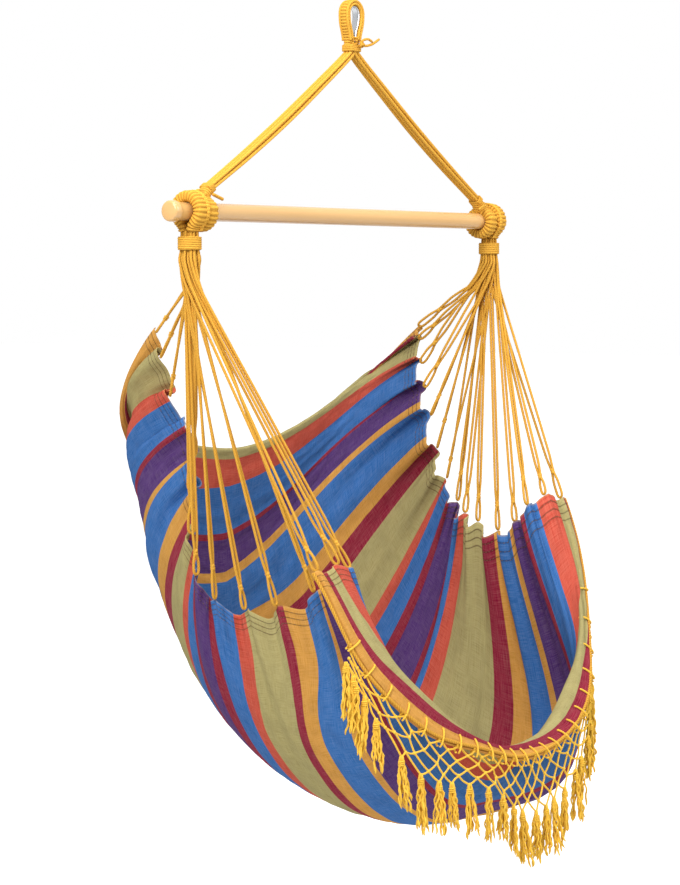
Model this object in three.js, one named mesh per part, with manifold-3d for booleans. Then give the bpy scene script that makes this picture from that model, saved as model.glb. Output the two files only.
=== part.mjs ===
// Hammock chair: a striped cloth seat hung on cords from a wooden spreader bar, under one rope eye.
// Millimetres. +X runs along the bar, -Y is the chair's front and +Z is up.
// The origin is the point where a hook bears, at the inner top of the steel thimble.
import * as THREE from "three";
import { mergeVertices } from "three/addons/utils/BufferGeometryUtils.js";
import Module from "manifold-3d";

const wasm = await Module();
wasm.setup();

// Clearance kept between pieces that touch on the real chair.
const touchGap = 0.3;

// Cords of the bridle and of the nettles, and how many flats go round a cord.
const bridleCordDiameter = 6;
const nettleDiameter = 4.5;
const cordSides = 8;

// Steel thimble in the hanging eye.
const thimbleOpeningWidth = 24;
const thimbleOpeningHeight = 58;
const thimbleWall = 2;
const thimbleWidth = 15;

// Wrapped rope eye around the thimble.
const eyeRopeThickness = 12;
const eyeRopeWidth = 21;
const eyeNeckWidth = 22;
const eyeNeckLength = 6;
const ropeRounding = 2;

// Wound band under the eye.
const eyeWhippingHeight = 12;
const eyeWhippingWall = 3;

// Tie knot beside the eye's neck, with two cut tails.
const knotDiameter = 12;
const knotTailDiameter = 4;
const knotTailLength = 40;
const knotTailRise = 12;
const knotBendShare = 0.5;

// Spreader bar.
const barDrop = 371;
const barLength = 960;
const barShift = -7;
const barDiameter = 30;
const barEndDiameter = 35;
const barEndLength = 15;
const barEndTaper = 4;
const barEdgeRound = 3;
const barSides = 24;

// Rope loops round the bar. The clew loops sit a little way in from the bar's ends.
const clewInset = 45;
const clewLoopWidth = 28;
const clewLoopThickness = 20;
const clewLoopDrop = 36;
const clewLoopTipWall = 10;
const bridleLoopWidth = 26;
const bridleLoopThickness = 18;
const bridleLoopRise = 38;
const bridleLoopTipWall = 8;

// Wound bands at the bar, and the bare cords between a clew loop and its band.
const clewCordsShown = 5;
const clewWhippingHeight = 22;
const clewWhippingWall = 3.5;
const bridleWhippingHeight = 12;
const bridleWhippingWall = 2.5;

// Bridle cords.
const bridleCordsPerSide = 6;
const bridleRowCount = 3;
const bridleSag = 8;
const bridleSteps = 4;

// Nettles, the doubled cords between the clews and the hems.
const nettlesPerSide = 15;
const nettleSpacing = 0.8;
const nettleEyeWidth = 18;
const nettleEyeLength = 44;
const nettleTurnSteps = 4;
const nettleEdgeInset = 16;

// Rows of a hexagonal bundle, from the back of the chair to its front, and how steeply it opens.
const bundleRowCounts = [2, 5, 6, 5, 6, 5, 2];
const bundleOpeningShare = 0.4;

// Seat cloth. Drop is measured down from the bar's axis.
const clothThickness = 3;
const clothLength = 1300;
const seatSpread = 382;
const seatDepth = 300;
const seatDrop = 1075;
const pleatDepth = 18;
const scallopDepth = 16;
const pleatFadePower = 5;
const clothStepsAcross = 22;
const clothStepsPerPleat = 3;
const swellReach = [100, -25, -60];
const swellScale = 6.75;

// Front lip: the cloth's last pleat turns over outwards along the front edge.
const lipReach = 50;
const lipHump = 10;
const lipStartShare = 0.75;
const lipFadePower = 4;

// Fringe: a cord along the front edge, a net that hangs from it, and tassels.
const fringeCordDiameter = 7;
const netThickness = 3;
const netDrop = 95;
const netSwing = 10;
const netSteps = 5;
const netEndColumns = 2;
const netEndDropShare = 0.3;
const netEndReachShare = 0.16;
const tasselCount = 22;
const tasselLength = 100;
const tasselTopDiameter = 9;
const tasselEndDiameter = 24;
const tasselOverlap = 6;
const tasselLeanShare = 0.1;
const tasselSides = 6;

// Where the hem of the cloth runs, one row for each nettle from the back edge to the front edge:
// shares of the seat's spread, its depth (back is plus), its drop on the left and on the right, and
// of how deep the pleats are on the left and on the right.
const hemShares = [
  [1.0, 0.43, 0.18, 0.185, 0.8, 0.8],
  [0.99, 0.42, 0.215, 0.205, 1.7, 1.0],
  [0.965, 0.38, 0.28, 0.249, 1.7, 1.3],
  [0.9, 0.3, 0.335, 0.294, 0.9, 1.2],
  [0.9, 0.25, 0.385, 0.348, 0.8, 0.9],
  [0.935, 0.23, 0.44, 0.41, 1.0, 1.1],
  [0.974, 0.183, 0.507, 0.465, 0.7, 0.9],
  [1.0, 0.117, 0.571, 0.505, 0.9, 1.2],
  [0.96, 0.02, 0.606, 0.523, 1.1, 0.9],
  [0.9, -0.14, 0.62, 0.534, 1.0, 1.1],
  [0.86, -0.333, 0.61, 0.544, 1.2, 0.9],
  [0.78, -0.53, 0.584, 0.521, 1.0, 0.8],
  [0.7, -0.69, 0.547, 0.486, 0.7, 0.7],
  [0.84, -0.71, 0.539, 0.473, 0.5, 0.6],
  [0.98, -0.71, 0.545, 0.484, 0.4, 0.5],
];

// The cloth's middle line from the back edge to the front edge: shares of its depth and its drop,
// then how square its cross-section is in depth and in drop, how far it bows out, how far it leans
// and how much it swells at the front's right side.
const middleShares = [
  [1.04, 0.47, 4.0, 2.0, 0.38, 0.0, 0.0],
  [0.93, 0.4, 4.0, 1.7, 0.46, 0.0, 0.0],
  [0.99, 0.51, 4.0, 1.5, 0.5, 0.0, 0.0],
  [1.0, 0.63, 3.6, 1.4, 0.5, 0.0, 0.0],
  [0.9, 0.75, 3.2, 1.5, 0.45, 0.02, 0.0],
  [0.66, 0.86, 2.8, 1.7, 0.4, 0.04, 0.0],
  [0.33, 0.935, 2.4, 1.9, 0.35, 0.06, 0.0],
  [-0.04, 0.985, 2.2, 2.1, 0.3, 0.08, 0.0],
  [-0.4, 1.0, 2.2, 2.3, 0.3, 0.09, 0.3],
  [-0.74, 0.99, 2.6, 2.4, 0.3, 0.1, 0.8],
  [-1.0, 0.96, 3.0, 2.4, 0.3, 0.11, 1.0],
  [-1.17, 0.92, 3.0, 2.3, 0.27, 0.12, 0.2],
  [-1.25, 0.87, 3.2, 2.2, 0.2, 0.12, 0.0],
];

// The front lip, from the left hem to the right: how far its crest and then its edge stand from the
// plain surface along X, Y and Z, as shares of the lip's reach, and how far the net hangs below it.
const lipShares = [
  [0.0, 0.0, 0.0, 0.0, 0.0, 0.0, 1.1],
  [0.0, 0.0, 0.32, -0.44, 0.26, -0.44, 1.2],
  [0.0, 0.0, 0.88, -0.3, 0.18, -0.48, 0.8],
  [0.0, 0.0, 0.96, 0.0, 0.0, 0.0, 0.65],
  [-0.08, 0.12, 1.12, 0.0, 0.0, 0.0, 1.0],
  [-0.3, 0.4, 1.12, 0.0, 0.0, 0.0, 0.85],
  [-0.32, 0.4, 1.26, 0.0, 0.0, 0.0, 0.6],
  [-0.02, 0.04, 0.78, -0.18, 0.22, 0.16, 0.8],
  [0.0, 0.0, 0.0, 0.0, 0.0, 0.0, 0.8],
];

const barHeight = -barDrop;
const nettlePitch = nettleDiameter + nettleSpacing;
const rowPitchShare = Math.sqrt(3) / 2;
const bundlePitches = Math.max(...bundleRowCounts.map((count, row) => {
  return Math.hypot((count - 1) / 2, ((bundleRowCounts.length - 1) / 2 - row) * rowPitchShare);
}));
const clewBundleRadius = bundlePitches * nettlePitch + nettleDiameter / 2 + touchGap;
const clewSpread = barLength / 2 - clewInset;
const bridleSpread = clewSpread - clewLoopWidth / 2 - touchGap - bridleLoopWidth / 2;
const clewNeckHeight = barHeight - clewLoopDrop;
const clewBandBottom = clewNeckHeight - clewCordsShown - clewWhippingHeight;
const clothStepsAlong = clothStepsPerPleat * (nettlesPerSide - 1);
const lipCrestShare = 1 - 1 / (nettlesPerSide - 1);
const hangingChair = new THREE.Group();

// Colours and finishes.
const finishes = {
  steel: { color: 0xb9bcc0, roughness: 0.3, metalness: 1 },
  rope: { color: 0xd9a53c, roughness: 0.85, metalness: 0 },
  wood: { color: 0xdfb474, roughness: 0.35, metalness: 0 },
  cloth: { color: 0x7a4a6a, roughness: 0.9, metalness: 0 },
  fringe: { color: 0xe6bd4e, roughness: 0.85, metalness: 0 },
};

// Adds one named piece, with a material of its own, to the chair.
function addPiece(name, geometry, finish) {
  const mesh = new THREE.Mesh(geometry, new THREE.MeshStandardMaterial(finishes[finish]));
  mesh.name = name;
  hangingChair.add(mesh);
  return mesh;
}

// A copy of a geometry with only its positions, and its shared corners merged.
function welded(geometry) {
  geometry.deleteAttribute("normal");
  geometry.deleteAttribute("uv");
  return mergeVertices(geometry);
}

// A geometry as a solid that can be joined or cut.
function asSolid(geometry) {
  const merged = welded(geometry);
  const vertProperties = new Float32Array(merged.attributes.position.array);
  const triVerts = new Uint32Array(merged.index.array);
  return new wasm.Manifold(new wasm.Mesh({ numProp: 3, vertProperties, triVerts }));
}

// The geometry of a solid that was joined or cut.
function asGeometry(solid) {
  const mesh = solid.getMesh();
  const geometry = new THREE.BufferGeometry();
  geometry.setAttribute("position", new THREE.BufferAttribute(mesh.vertProperties, 3));
  geometry.setIndex(new THREE.BufferAttribute(mesh.triVerts, 1));
  return geometry;
}

// A path that visits its own points only, so a taut cord takes no more steps than it needs.
class Route extends THREE.Curve {
  constructor(points) {
    super();
    this.points = points;
  }

  getPoint(t, target = new THREE.Vector3()) {
    const place = t * (this.points.length - 1);
    const index = Math.min(Math.floor(place), this.points.length - 2);
    return target.lerpVectors(this.points[index], this.points[index + 1], place - index);
  }

  getPointAt(u, target) {
    return this.getPoint(u, target);
  }

  getTangentAt(u, target = new THREE.Vector3()) {
    const index = Math.round(u * (this.points.length - 1));
    const before = this.points[Math.max(index - 1, 0)];
    const after = this.points[Math.min(index + 1, this.points.length - 1)];
    return target.subVectors(after, before).normalize();
  }
}

// A round cord of one thickness along a list of points.
function cordAlong(points, diameter) {
  const corners = [];
  for (let side = 0; side < cordSides; side += 1) {
    const angle = (2 * Math.PI * side) / cordSides;
    corners.push(new THREE.Vector2(Math.cos(angle), Math.sin(angle)).multiplyScalar(diameter / 2));
  }
  const route = new Route(points);
  return new THREE.ExtrudeGeometry(new THREE.Shape(corners), {
    steps: points.length - 1,
    extrudePath: route,
  });
}

// Draws a teardrop: half a circle on top of sides that draw in to a blunt tip below.
function drawTeardrop(path, radius, centre, tipHalf, tip) {
  const bend = (centre + tip) / 2;
  path.moveTo(radius, centre);
  path.absarc(0, centre, radius, 0, Math.PI, false);
  path.bezierCurveTo(-radius, bend, -tipHalf, bend, -tipHalf, tip);
  path.lineTo(tipHalf, tip);
  path.bezierCurveTo(tipHalf, bend, radius, bend, radius, centre);
  return path;
}

// A flat ring between two teardrops, each given as radius, centre, half its tip and its tip.
function teardropRing(outer, inner, width, rounding) {
  const shape = drawTeardrop(new THREE.Shape(), ...outer);
  shape.holes.push(drawTeardrop(new THREE.Path(), ...inner));
  const geometry = new THREE.ExtrudeGeometry(shape, {
    depth: width - 2 * rounding,
    curveSegments: 12,
    bevelEnabled: rounding > 0,
    bevelThickness: rounding,
    bevelSize: rounding,
    bevelOffset: -rounding,
    bevelSegments: 1,
  });
  geometry.translate(0, 0, rounding - width / 2);
  return geometry;
}

// Turns a flat shape so that its width runs along the bar and it stands upright.
function standAcrossBar(geometry, tipUp) {
  const upright = new THREE.Vector3(0, 0, tipUp ? -1 : 1);
  const across = new THREE.Vector3(0, tipUp ? -1 : 1, 0);
  const along = new THREE.Vector3(1, 0, 0);
  geometry.applyMatrix4(new THREE.Matrix4().makeBasis(across, upright, along));
  return geometry;
}

// Outline of a band wound round a bundle of cords: a rectangle with round corners.
function roundedOutline(path, halfWidth, halfHeight, radius) {
  path.moveTo(halfWidth, -halfHeight + radius);
  path.absarc(halfWidth - radius, halfHeight - radius, radius, 0, Math.PI / 2, false);
  path.absarc(-halfWidth + radius, halfHeight - radius, radius, Math.PI / 2, Math.PI, false);
  path.absarc(-halfWidth + radius, -halfHeight + radius, radius, Math.PI, 1.5 * Math.PI, false);
  path.absarc(halfWidth - radius, -halfHeight + radius, radius, 1.5 * Math.PI, 2 * Math.PI, false);
  return path;
}

// A wound band, as long as its height, round a bundle whose cords lie in rows and columns.
function woundBand(halfWidth, halfHeight, cornerRadius, wall, height) {
  const outerRadius = cornerRadius + wall;
  const shape = roundedOutline(new THREE.Shape(), halfWidth + wall, halfHeight + wall, outerRadius);
  shape.holes.push(roundedOutline(new THREE.Path(), halfWidth, halfHeight, cornerRadius));
  return new THREE.ExtrudeGeometry(shape, { depth: height, bevelEnabled: false, curveSegments: 4 });
}

// Outline of the thimble's opening, grown by a margin: radius, centre, half its tip and its tip.
function thimbleOutline(margin) {
  const radius = thimbleOpeningWidth / 2;
  return [radius + margin, -radius, thimbleWall + margin, -thimbleOpeningHeight - margin];
}

function addHangingEye() {
  const strip = teardropRing(thimbleOutline(thimbleWall), thimbleOutline(0), thimbleWidth, 0);
  addPiece("hanging_thimble", strip.rotateX(Math.PI / 2), "steel");
  const hole = thimbleOutline(thimbleWall + touchGap);
  const outside = thimbleOutline(thimbleWall + touchGap + eyeRopeThickness);
  outside[2] = eyeNeckWidth / 2;
  outside[3] = -eyeBottom;
  const eye = teardropRing(outside, hole, eyeRopeWidth, ropeRounding);
  addPiece("hanging_eye", eye.rotateX(Math.PI / 2), "rope");
}

// Depth below the hook of the eye's lower end, and of the band under it.
const eyeBottom = thimbleOpeningHeight + thimbleWall + eyeNeckLength;
const eyeBandTop = eyeBottom + touchGap;
const eyeBandBottom = eyeBandTop + eyeWhippingHeight;

// Bridle cords lie side by side in rows along Y; every side brings two columns.
const bridlePitch = bridleCordDiameter + touchGap;
const bridleColumnCount = bridleCordsPerSide / bridleRowCount;
const bridleHalfRows = (bridleRowCount * bridlePitch) / 2;
const bridleHalfColumns = (bridleColumnCount * bridlePitch) / 2;

function addEyeWhipping() {
  const band = woundBand(
    2 * bridleHalfColumns + touchGap,
    bridleHalfRows + touchGap,
    bridleCordDiameter / 2,
    eyeWhippingWall,
    eyeWhippingHeight,
  );
  const mesh = addPiece("eye_whipping", band, "rope");
  mesh.position.z = -eyeBandBottom;
}

function addTieKnot() {
  const face = bridleHalfRows + touchGap + eyeWhippingWall + touchGap;
  const centre = new THREE.Vector3(bridleHalfColumns, -face - knotDiameter / 2, -eyeBandTop);
  const ball = new THREE.SphereGeometry(knotDiameter / 2, 10, 8);
  ball.translate(centre.x, centre.y, centre.z);
  let knot = asSolid(ball);
  for (const spread of [0, 1]) {
    const end = new THREE.Vector3(knotTailLength, -spread * knotTailDiameter, knotTailRise * (1 - spread));
    const bend = end.clone().multiplyScalar(knotBendShare).setZ(-knotTailRise * spread * knotBendShare);
    const tail = cordAlong([centre, centre.clone().add(bend), centre.clone().add(end)], knotTailDiameter);
    knot = knot.add(asSolid(tail));
  }
  addPiece("eye_tie_knot", asGeometry(knot), "rope");
}

function addSpreaderBar() {
  const radius = barDiameter / 2;
  const endRadius = barEndDiameter / 2;
  const half = barLength / 2;
  const profile = [
    [0, -half],
    [endRadius - barEdgeRound, -half],
    [endRadius, -half + barEdgeRound],
    [endRadius, -half + barEndLength],
    [radius, -half + barEndLength + barEndTaper],
    [radius, half - barEndLength - barEndTaper],
    [endRadius, half - barEndLength],
    [endRadius, half - barEdgeRound],
    [endRadius - barEdgeRound, half],
    [0, half],
  ];
  const points = profile.map(([x, y]) => new THREE.Vector2(x, y));
  const bar = new THREE.LatheGeometry(points, barSides);
  bar.rotateZ(-Math.PI / 2);
  const mesh = addPiece("spreader_bar", bar, "wood");
  mesh.position.set(barShift, 0, barHeight);
}

// A rope loop round the bar: it bears on the bar on one side and draws in to a neck on the other.
function barLoop({ width, thickness, reach, neckHalf, tipWall, tipUp }) {
  const bore = barDiameter / 2 + touchGap;
  const inner = [bore, 0, neckHalf - tipWall, tipWall - reach];
  const outer = [bore + thickness, 0, neckHalf, -reach];
  return standAcrossBar(teardropRing(outer, inner, width, ropeRounding), tipUp);
}

function addClewLoop(side, sign) {
  const loop = barLoop({
    width: clewLoopWidth,
    thickness: clewLoopThickness,
    reach: clewLoopDrop,
    neckHalf: clewBundleRadius,
    tipWall: clewLoopTipWall,
    tipUp: false,
  });
  const mesh = addPiece(`clew_loop_${side}`, loop, "rope");
  mesh.position.set(sign * clewSpread, 0, barHeight);
}

function addBridleLoop(side, sign) {
  const loop = barLoop({
    width: bridleLoopWidth,
    thickness: bridleLoopThickness,
    reach: bridleLoopRise,
    neckHalf: bridleHalfRows,
    tipWall: bridleLoopTipWall,
    tipUp: true,
  });
  const mesh = addPiece(`bridle_loop_${side}`, loop, "rope");
  mesh.position.set(sign * bridleSpread, 0, barHeight);
}

// The slanting part of the bridle on one side: where it starts, where it ends at the inner top edge
// of its loop, and which way it rises.
function bridleLine(sign) {
  const top = new THREE.Vector3(sign * bridleHalfColumns, 0, -eyeBandBottom);
  const edge = new THREE.Vector3(
    sign * (bridleSpread - bridleLoopWidth / 2),
    0,
    barHeight + bridleLoopRise - ropeRounding,
  );
  const rise = top.clone().sub(edge).normalize();
  const over = new THREE.Vector3(-rise.z * Math.sign(rise.x), 0, Math.abs(rise.x));
  const foot = edge.addScaledVector(rise, touchGap);
  return { top, foot, rise, over };
}

function addBridle(side, sign) {
  const { top, foot, rise, over } = bridleLine(sign);
  const band = woundBand(
    bridleHalfRows + touchGap,
    bridleHalfColumns + touchGap,
    bridleCordDiameter / 2,
    bridleWhippingWall,
    bridleWhippingHeight,
  );
  const across = new THREE.Vector3().crossVectors(over, rise);
  const bend = Math.acos(rise.z);
  band.applyMatrix4(new THREE.Matrix4().makeBasis(across, over, rise));
  const mesh = addPiece(`bridle_whipping_${side}`, band, "rope");
  mesh.position.copy(foot);
  for (let cord = 0; cord < bridleCordsPerSide; cord += 1) {
    const row = (cord % bridleRowCount) - (bridleRowCount - 1) / 2;
    const column = Math.floor(cord / bridleRowCount) - (bridleColumnCount - 1) / 2;
    const inward = ((bridleColumnCount - 1) / 2 - column) * bridlePitch;
    const bendDrop = bridleCordDiameter / 2 + inward * Math.tan(bend / 2);
    const outward = sign * column * bridlePitch;
    const start = top.clone().add(new THREE.Vector3(outward, row * bridlePitch, -bendDrop));
    const end = foot.clone().addScaledVector(over, column * bridlePitch);
    end.y = row * bridlePitch;
    const route = bridleRoute(start, end, rise);
    addPiece(`bridle_cord_${side}_${cord + 1}`, cordAlong(route, bridleCordDiameter), "rope");
  }
}

// One bridle cord: down out of the eye's band, in a slack curve, and straight into the lower band.
function bridleRoute(start, end, rise) {
  const bandEnd = end.clone().addScaledVector(rise, bridleWhippingHeight);
  const route = [start.clone().setZ(-eyeBandTop - touchGap), start.clone()];
  for (let step = 1; step < bridleSteps; step += 1) {
    const share = step / bridleSteps;
    const point = start.clone().lerp(bandEnd, share);
    point.z -= bridleSag * Math.sin(Math.PI * share);
    route.push(point);
  }
  route.push(bandEnd, end);
  return route;
}

// A smooth curve through rows of shares, read at a share of its length from 0 to 1.
function readShares(rows, column, share) {
  const place = share * (rows.length - 1);
  const index = Math.min(Math.floor(place), rows.length - 2);
  const t = place - index;
  const before = rows[Math.max(index - 1, 0)][column];
  const from = rows[index][column];
  const to = rows[index + 1][column];
  const after = rows[Math.min(index + 2, rows.length - 1)][column];
  const fromSlope = (to - before) / 2;
  const toSlope = (after - from) / 2;
  const t2 = t * t;
  const t3 = t2 * t;
  return (2 * t3 - 3 * t2 + 1) * from + (t3 - 2 * t2 + t) * fromSlope
    + (3 * t2 - 2 * t3) * to + (t3 - t2) * toSlope;
}

// A share from 0 to 1 that starts and ends gently.
function eased(share) {
  const within = Math.min(Math.max(share, 0), 1);
  return within * within * (3 - 2 * within);
}

// How the front lip rises to its crest and turns over outwards.
function lipOffset(u, v) {
  const rising = eased((v - lipStartShare) / (lipCrestShare - lipStartShare));
  const turning = eased((v - lipCrestShare) / (1 - lipCrestShare));
  const [x, y, z] = [0, 1, 2].map((axis) => {
    const crest = readShares(lipShares, axis, u);
    const edge = readShares(lipShares, axis + 3, u);
    return lipReach * rising * (crest + (edge - crest) * turning);
  });
  const hump = lipHump * Math.sin(Math.PI * turning) * (1 - (2 * u - 1) ** lipFadePower);
  return new THREE.Vector3(x, y, z + hump);
}

// The cloth's middle layer: u goes from the left hem to the right, v from the back edge to the front.
function clothPoint(u, v) {
  const t = 2 * u - 1;
  const sideShare = Math.abs(t);
  const bowing = 1 - t * t;
  const spread = seatSpread * readShares(hemShares, 0, v);
  const hemDepth = seatDepth * readShares(hemShares, 1, v);
  const dropLeft = seatDrop * readShares(hemShares, 2, v);
  const dropRight = seatDrop * readShares(hemShares, 3, v);
  const depth = seatDepth * readShares(middleShares, 0, v);
  const drop = seatDrop * readShares(middleShares, 1, v);
  const bow = readShares(middleShares, 4, v);
  const leaning = Math.abs(t - readShares(middleShares, 5, v) * bowing);
  const depthShare = 1 - leaning ** readShares(middleShares, 2, v);
  const dropShare = 1 - leaning ** readShares(middleShares, 3, v);
  const hemDrop = dropLeft + (dropRight - dropLeft) * u;
  const sag = (drop - (dropLeft + dropRight) / 2) * dropShare;
  const pleatShare = readShares(hemShares, t < 0 ? 4 : 5, v) * sideShare ** pleatFadePower;
  const pleat = pleatShare * Math.sin(Math.PI * v * (nettlesPerSide - 1)) ** 2;
  const x = spread * t * (1 + bow * bowing) - Math.sign(t) * pleatDepth * pleat;
  const y = hemDepth + (depth - hemDepth) * depthShare;
  const z = barHeight - hemDrop - sag - scallopDepth * pleat;
  const swell = swellScale * readShares(middleShares, 6, v) * (bowing * Math.max(t, 0)) ** 2;
  const swelling = new THREE.Vector3(...swellReach).multiplyScalar(swell);
  return new THREE.Vector3(x, y, z).add(swelling).add(lipOffset(u, v));
}

// The cloth's outward direction at a place.
function clothOutward(u, v) {
  const step = 1 / (clothStepsAlong * clothStepsAlong);
  const across = clothPoint(Math.min(u + step, 1), v).sub(clothPoint(Math.max(u - step, 0), v));
  const along = clothPoint(u, Math.min(v + step, 1)).sub(clothPoint(u, Math.max(v - step, 0)));
  return across.cross(along).normalize();
}

// A point of the cloth's flat facets between two of its rows, moved out by an offset.
function facetPoint(u, row, offset) {
  const rowBefore = Math.min(Math.floor(row), clothStepsAlong - 1);
  const ends = [rowBefore, rowBefore + 1].map((place) => {
    const v = place / clothStepsAlong;
    return clothPoint(u, v).addScaledVector(clothOutward(u, v), offset);
  });
  return ends[0].lerp(ends[1], row - rowBefore);
}

// A closed sheet between an outer and an inner grid of points, each grid a list of columns.
function sheetBetween(outer, inner) {
  const columns = outer.length;
  const rows = outer[0].length;
  const corners = [...outer.flat(), ...inner.flat()];
  const innerStart = columns * rows;
  const at = (column, row) => column * rows + row;
  const index = [];
  const addRim = (from, to) => {
    index.push(to, from, from + innerStart);
    index.push(to, from + innerStart, to + innerStart);
  };
  for (let column = 0; column < columns - 1; column += 1) {
    for (let row = 0; row < rows - 1; row += 1) {
      const around = [at(column, row), at(column + 1, row), at(column + 1, row + 1), at(column, row + 1)];
      const [a, b, c, d] = around;
      const [e, f, g, h] = around.map((corner) => corner + innerStart);
      index.push(a, b, c, a, c, d, e, g, f, e, h, g);
    }
    addRim(at(column, 0), at(column + 1, 0));
    addRim(at(column + 1, rows - 1), at(column, rows - 1));
  }
  for (let row = 0; row < rows - 1; row += 1) {
    addRim(at(columns - 1, row), at(columns - 1, row + 1));
    addRim(at(0, row + 1), at(0, row));
  }
  const geometry = new THREE.BufferGeometry().setFromPoints(corners);
  geometry.setIndex(index);
  return geometry;
}

function addSeatCloth() {
  const columnsAt = (offset) => Array.from({ length: clothStepsAcross + 1 }, (unused, column) => {
    const u = column / clothStepsAcross;
    return Array.from({ length: clothStepsAlong + 1 }, (none, row) => facetPoint(u, row, offset));
  });
  const sheet = sheetBetween(columnsAt(clothThickness / 2), columnsAt(-clothThickness / 2));
  addPiece("seat_cloth", sheet, "cloth");
}

// Where a nettle meets the hem: its row, the point, the hem's direction and the cloth's outward one.
function hemPlace(sign, nettle) {
  const u = (1 + sign) / 2;
  const inset = (nettleEdgeInset / clothLength) * clothStepsAlong;
  const row = inset + ((clothStepsAlong - 2 * inset) * nettle) / (nettlesPerSide - 1);
  const point = facetPoint(u, row, 0);
  const ahead = facetPoint(u, row + inset / 2, 0);
  const along = ahead.sub(facetPoint(u, row - inset / 2, 0)).normalize();
  return { point, along, outward: clothOutward(u, row / clothStepsAlong) };
}

// Places of the nettles' cords in their bundle, rows from back to front. In a row the cords that lean
// in most take the inner places, so no two cords cross.
function bundlePlaces(sign) {
  const cords = [];
  for (let nettle = 0; nettle < nettlesPerSide; nettle += 1) {
    const { point } = hemPlace(sign, nettle);
    const lean = (sign * point.x - clewSpread) / (clewBandBottom - point.z);
    cords.push({ nettle, lean }, { nettle, lean });
  }
  const rowPitch = nettlePitch * rowPitchShare;
  const places = Array.from({ length: nettlesPerSide }, () => []);
  let first = 0;
  bundleRowCounts.forEach((count, row) => {
    const taken = cords.slice(first, first + count).sort((one, other) => one.lean - other.lean);
    first += count;
    taken.forEach(({ nettle }, index) => {
      const x = sign * (index - (count - 1) / 2) * nettlePitch;
      places[nettle].push(new THREE.Vector2(x, ((bundleRowCounts.length - 1) / 2 - row) * rowPitch));
    });
  });
  return places;
}

// One strand of a nettle inside its bundle: out of the loop's neck and down to where it turns away.
function bundledStrand(sign, place) {
  const below = bundleOpeningShare * (clewBundleRadius - place.length());
  const x = sign * clewSpread + place.x;
  return [
    new THREE.Vector3(x, place.y, clewNeckHeight - touchGap),
    new THREE.Vector3(x, place.y, clewBandBottom - touchGap - below),
  ];
}

// A nettle: one cord that comes down from the bundle, turns round the hem and goes back up.
function nettleRoute(sign, nettle, places) {
  const { point, along, outward } = hemPlace(sign, nettle);
  const down = bundledStrand(sign, places[0]);
  const back = bundledStrand(sign, places[1]).reverse();
  const up = down[1].clone().add(back[0]).divideScalar(2).sub(point).normalize();
  const side = new THREE.Vector3().crossVectors(up, along);
  const risePerLength = side.length();
  side.normalize();
  if (side.dot(back[0].clone().sub(down[1])) < 0) {
    side.negate();
  }
  const rimHalf = (clothThickness / 2) * Math.abs(outward.dot(up));
  const seat = point.addScaledVector(up, (nettleDiameter / 2 + touchGap + rimHalf) / risePerLength);
  const half = (nettleEyeWidth - nettleDiameter) / 2;
  const at = (sideways, rise) => seat.clone().addScaledVector(side, sideways).addScaledVector(up, rise);
  const turn = [];
  for (let step = 0; step <= nettleTurnSteps; step += 1) {
    const angle = Math.PI * (1 + step / nettleTurnSteps);
    turn.push(at(half * Math.cos(angle), half * (1 + Math.sin(angle))));
  }
  return [...down, at(-half, nettleEyeLength), ...turn, at(half, nettleEyeLength), ...back];
}

function addNettles(side, sign) {
  const places = bundlePlaces(sign);
  for (let nettle = 0; nettle < nettlesPerSide; nettle += 1) {
    const route = nettleRoute(sign, nettle, places[nettle]);
    const number = String(nettle + 1).padStart(2, "0");
    addPiece(`nettle_${side}_${number}`, cordAlong(route, nettleDiameter), "rope");
  }
}

// Wound band under a clew loop, round the whole bundle of nettles.
function addClewWhipping(side, sign) {
  const shape = new THREE.Shape();
  shape.absarc(0, 0, clewBundleRadius + clewWhippingWall, 0, 2 * Math.PI, false);
  const hole = new THREE.Path();
  hole.absarc(0, 0, clewBundleRadius, 0, 2 * Math.PI, true);
  shape.holes.push(hole);
  const options = { depth: clewWhippingHeight, bevelEnabled: false, curveSegments: 12 };
  const mesh = addPiece(`clew_whipping_${side}`, new THREE.ExtrudeGeometry(shape, options), "rope");
  mesh.position.set(sign * clewSpread, 0, clewBandBottom);
}

// Points of the cord that the fringe is knotted on, one for each column of the cloth, just beyond
// the cloth's front edge.
function fringeLine() {
  const away = fringeCordDiameter / 2 + 2 * touchGap;
  const edge = [];
  for (let column = 0; column <= clothStepsAcross; column += 1) {
    edge.push(facetPoint(column / clothStepsAcross, clothStepsAlong, 0));
  }
  return edge.map((point, column) => {
    const before = edge[Math.max(column - 1, 0)];
    const after = edge[Math.min(column + 1, clothStepsAcross)];
    const beyond = clothOutward(column / clothStepsAcross, 1).cross(after.clone().sub(before)).normalize();
    return point.clone().addScaledVector(beyond, away);
  });
}

// The net under one place of the fringe's cord: its points from the lowest up, and the level
// direction that it faces.
function netStrip(line, column) {
  const along = line[column + 1].clone().sub(line[column - 1]).normalize();
  const level = Math.hypot(along.x, along.y);
  const facing = new THREE.Vector3(along.y, -along.x, 0).divideScalar(level);
  const start = (fringeCordDiameter / 2 + 2 * touchGap) / level;
  const u = column / clothStepsAcross;
  const fromEnd = (Math.min(column, clothStepsAcross - column) - netEndColumns) / clothStepsAcross;
  const fullness = netEndDropShare + (1 - netEndDropShare) * eased(fromEnd / netEndReachShare);
  const drop = netDrop * fullness * readShares(lipShares, 6, u);
  const points = [];
  for (let step = netSteps; step >= 0; step -= 1) {
    const share = step / netSteps;
    const point = line[column].clone().addScaledVector(facing, netSwing * share * share);
    point.z -= start + drop * share;
    points.push(point);
  }
  return { points, facing };
}

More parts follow.
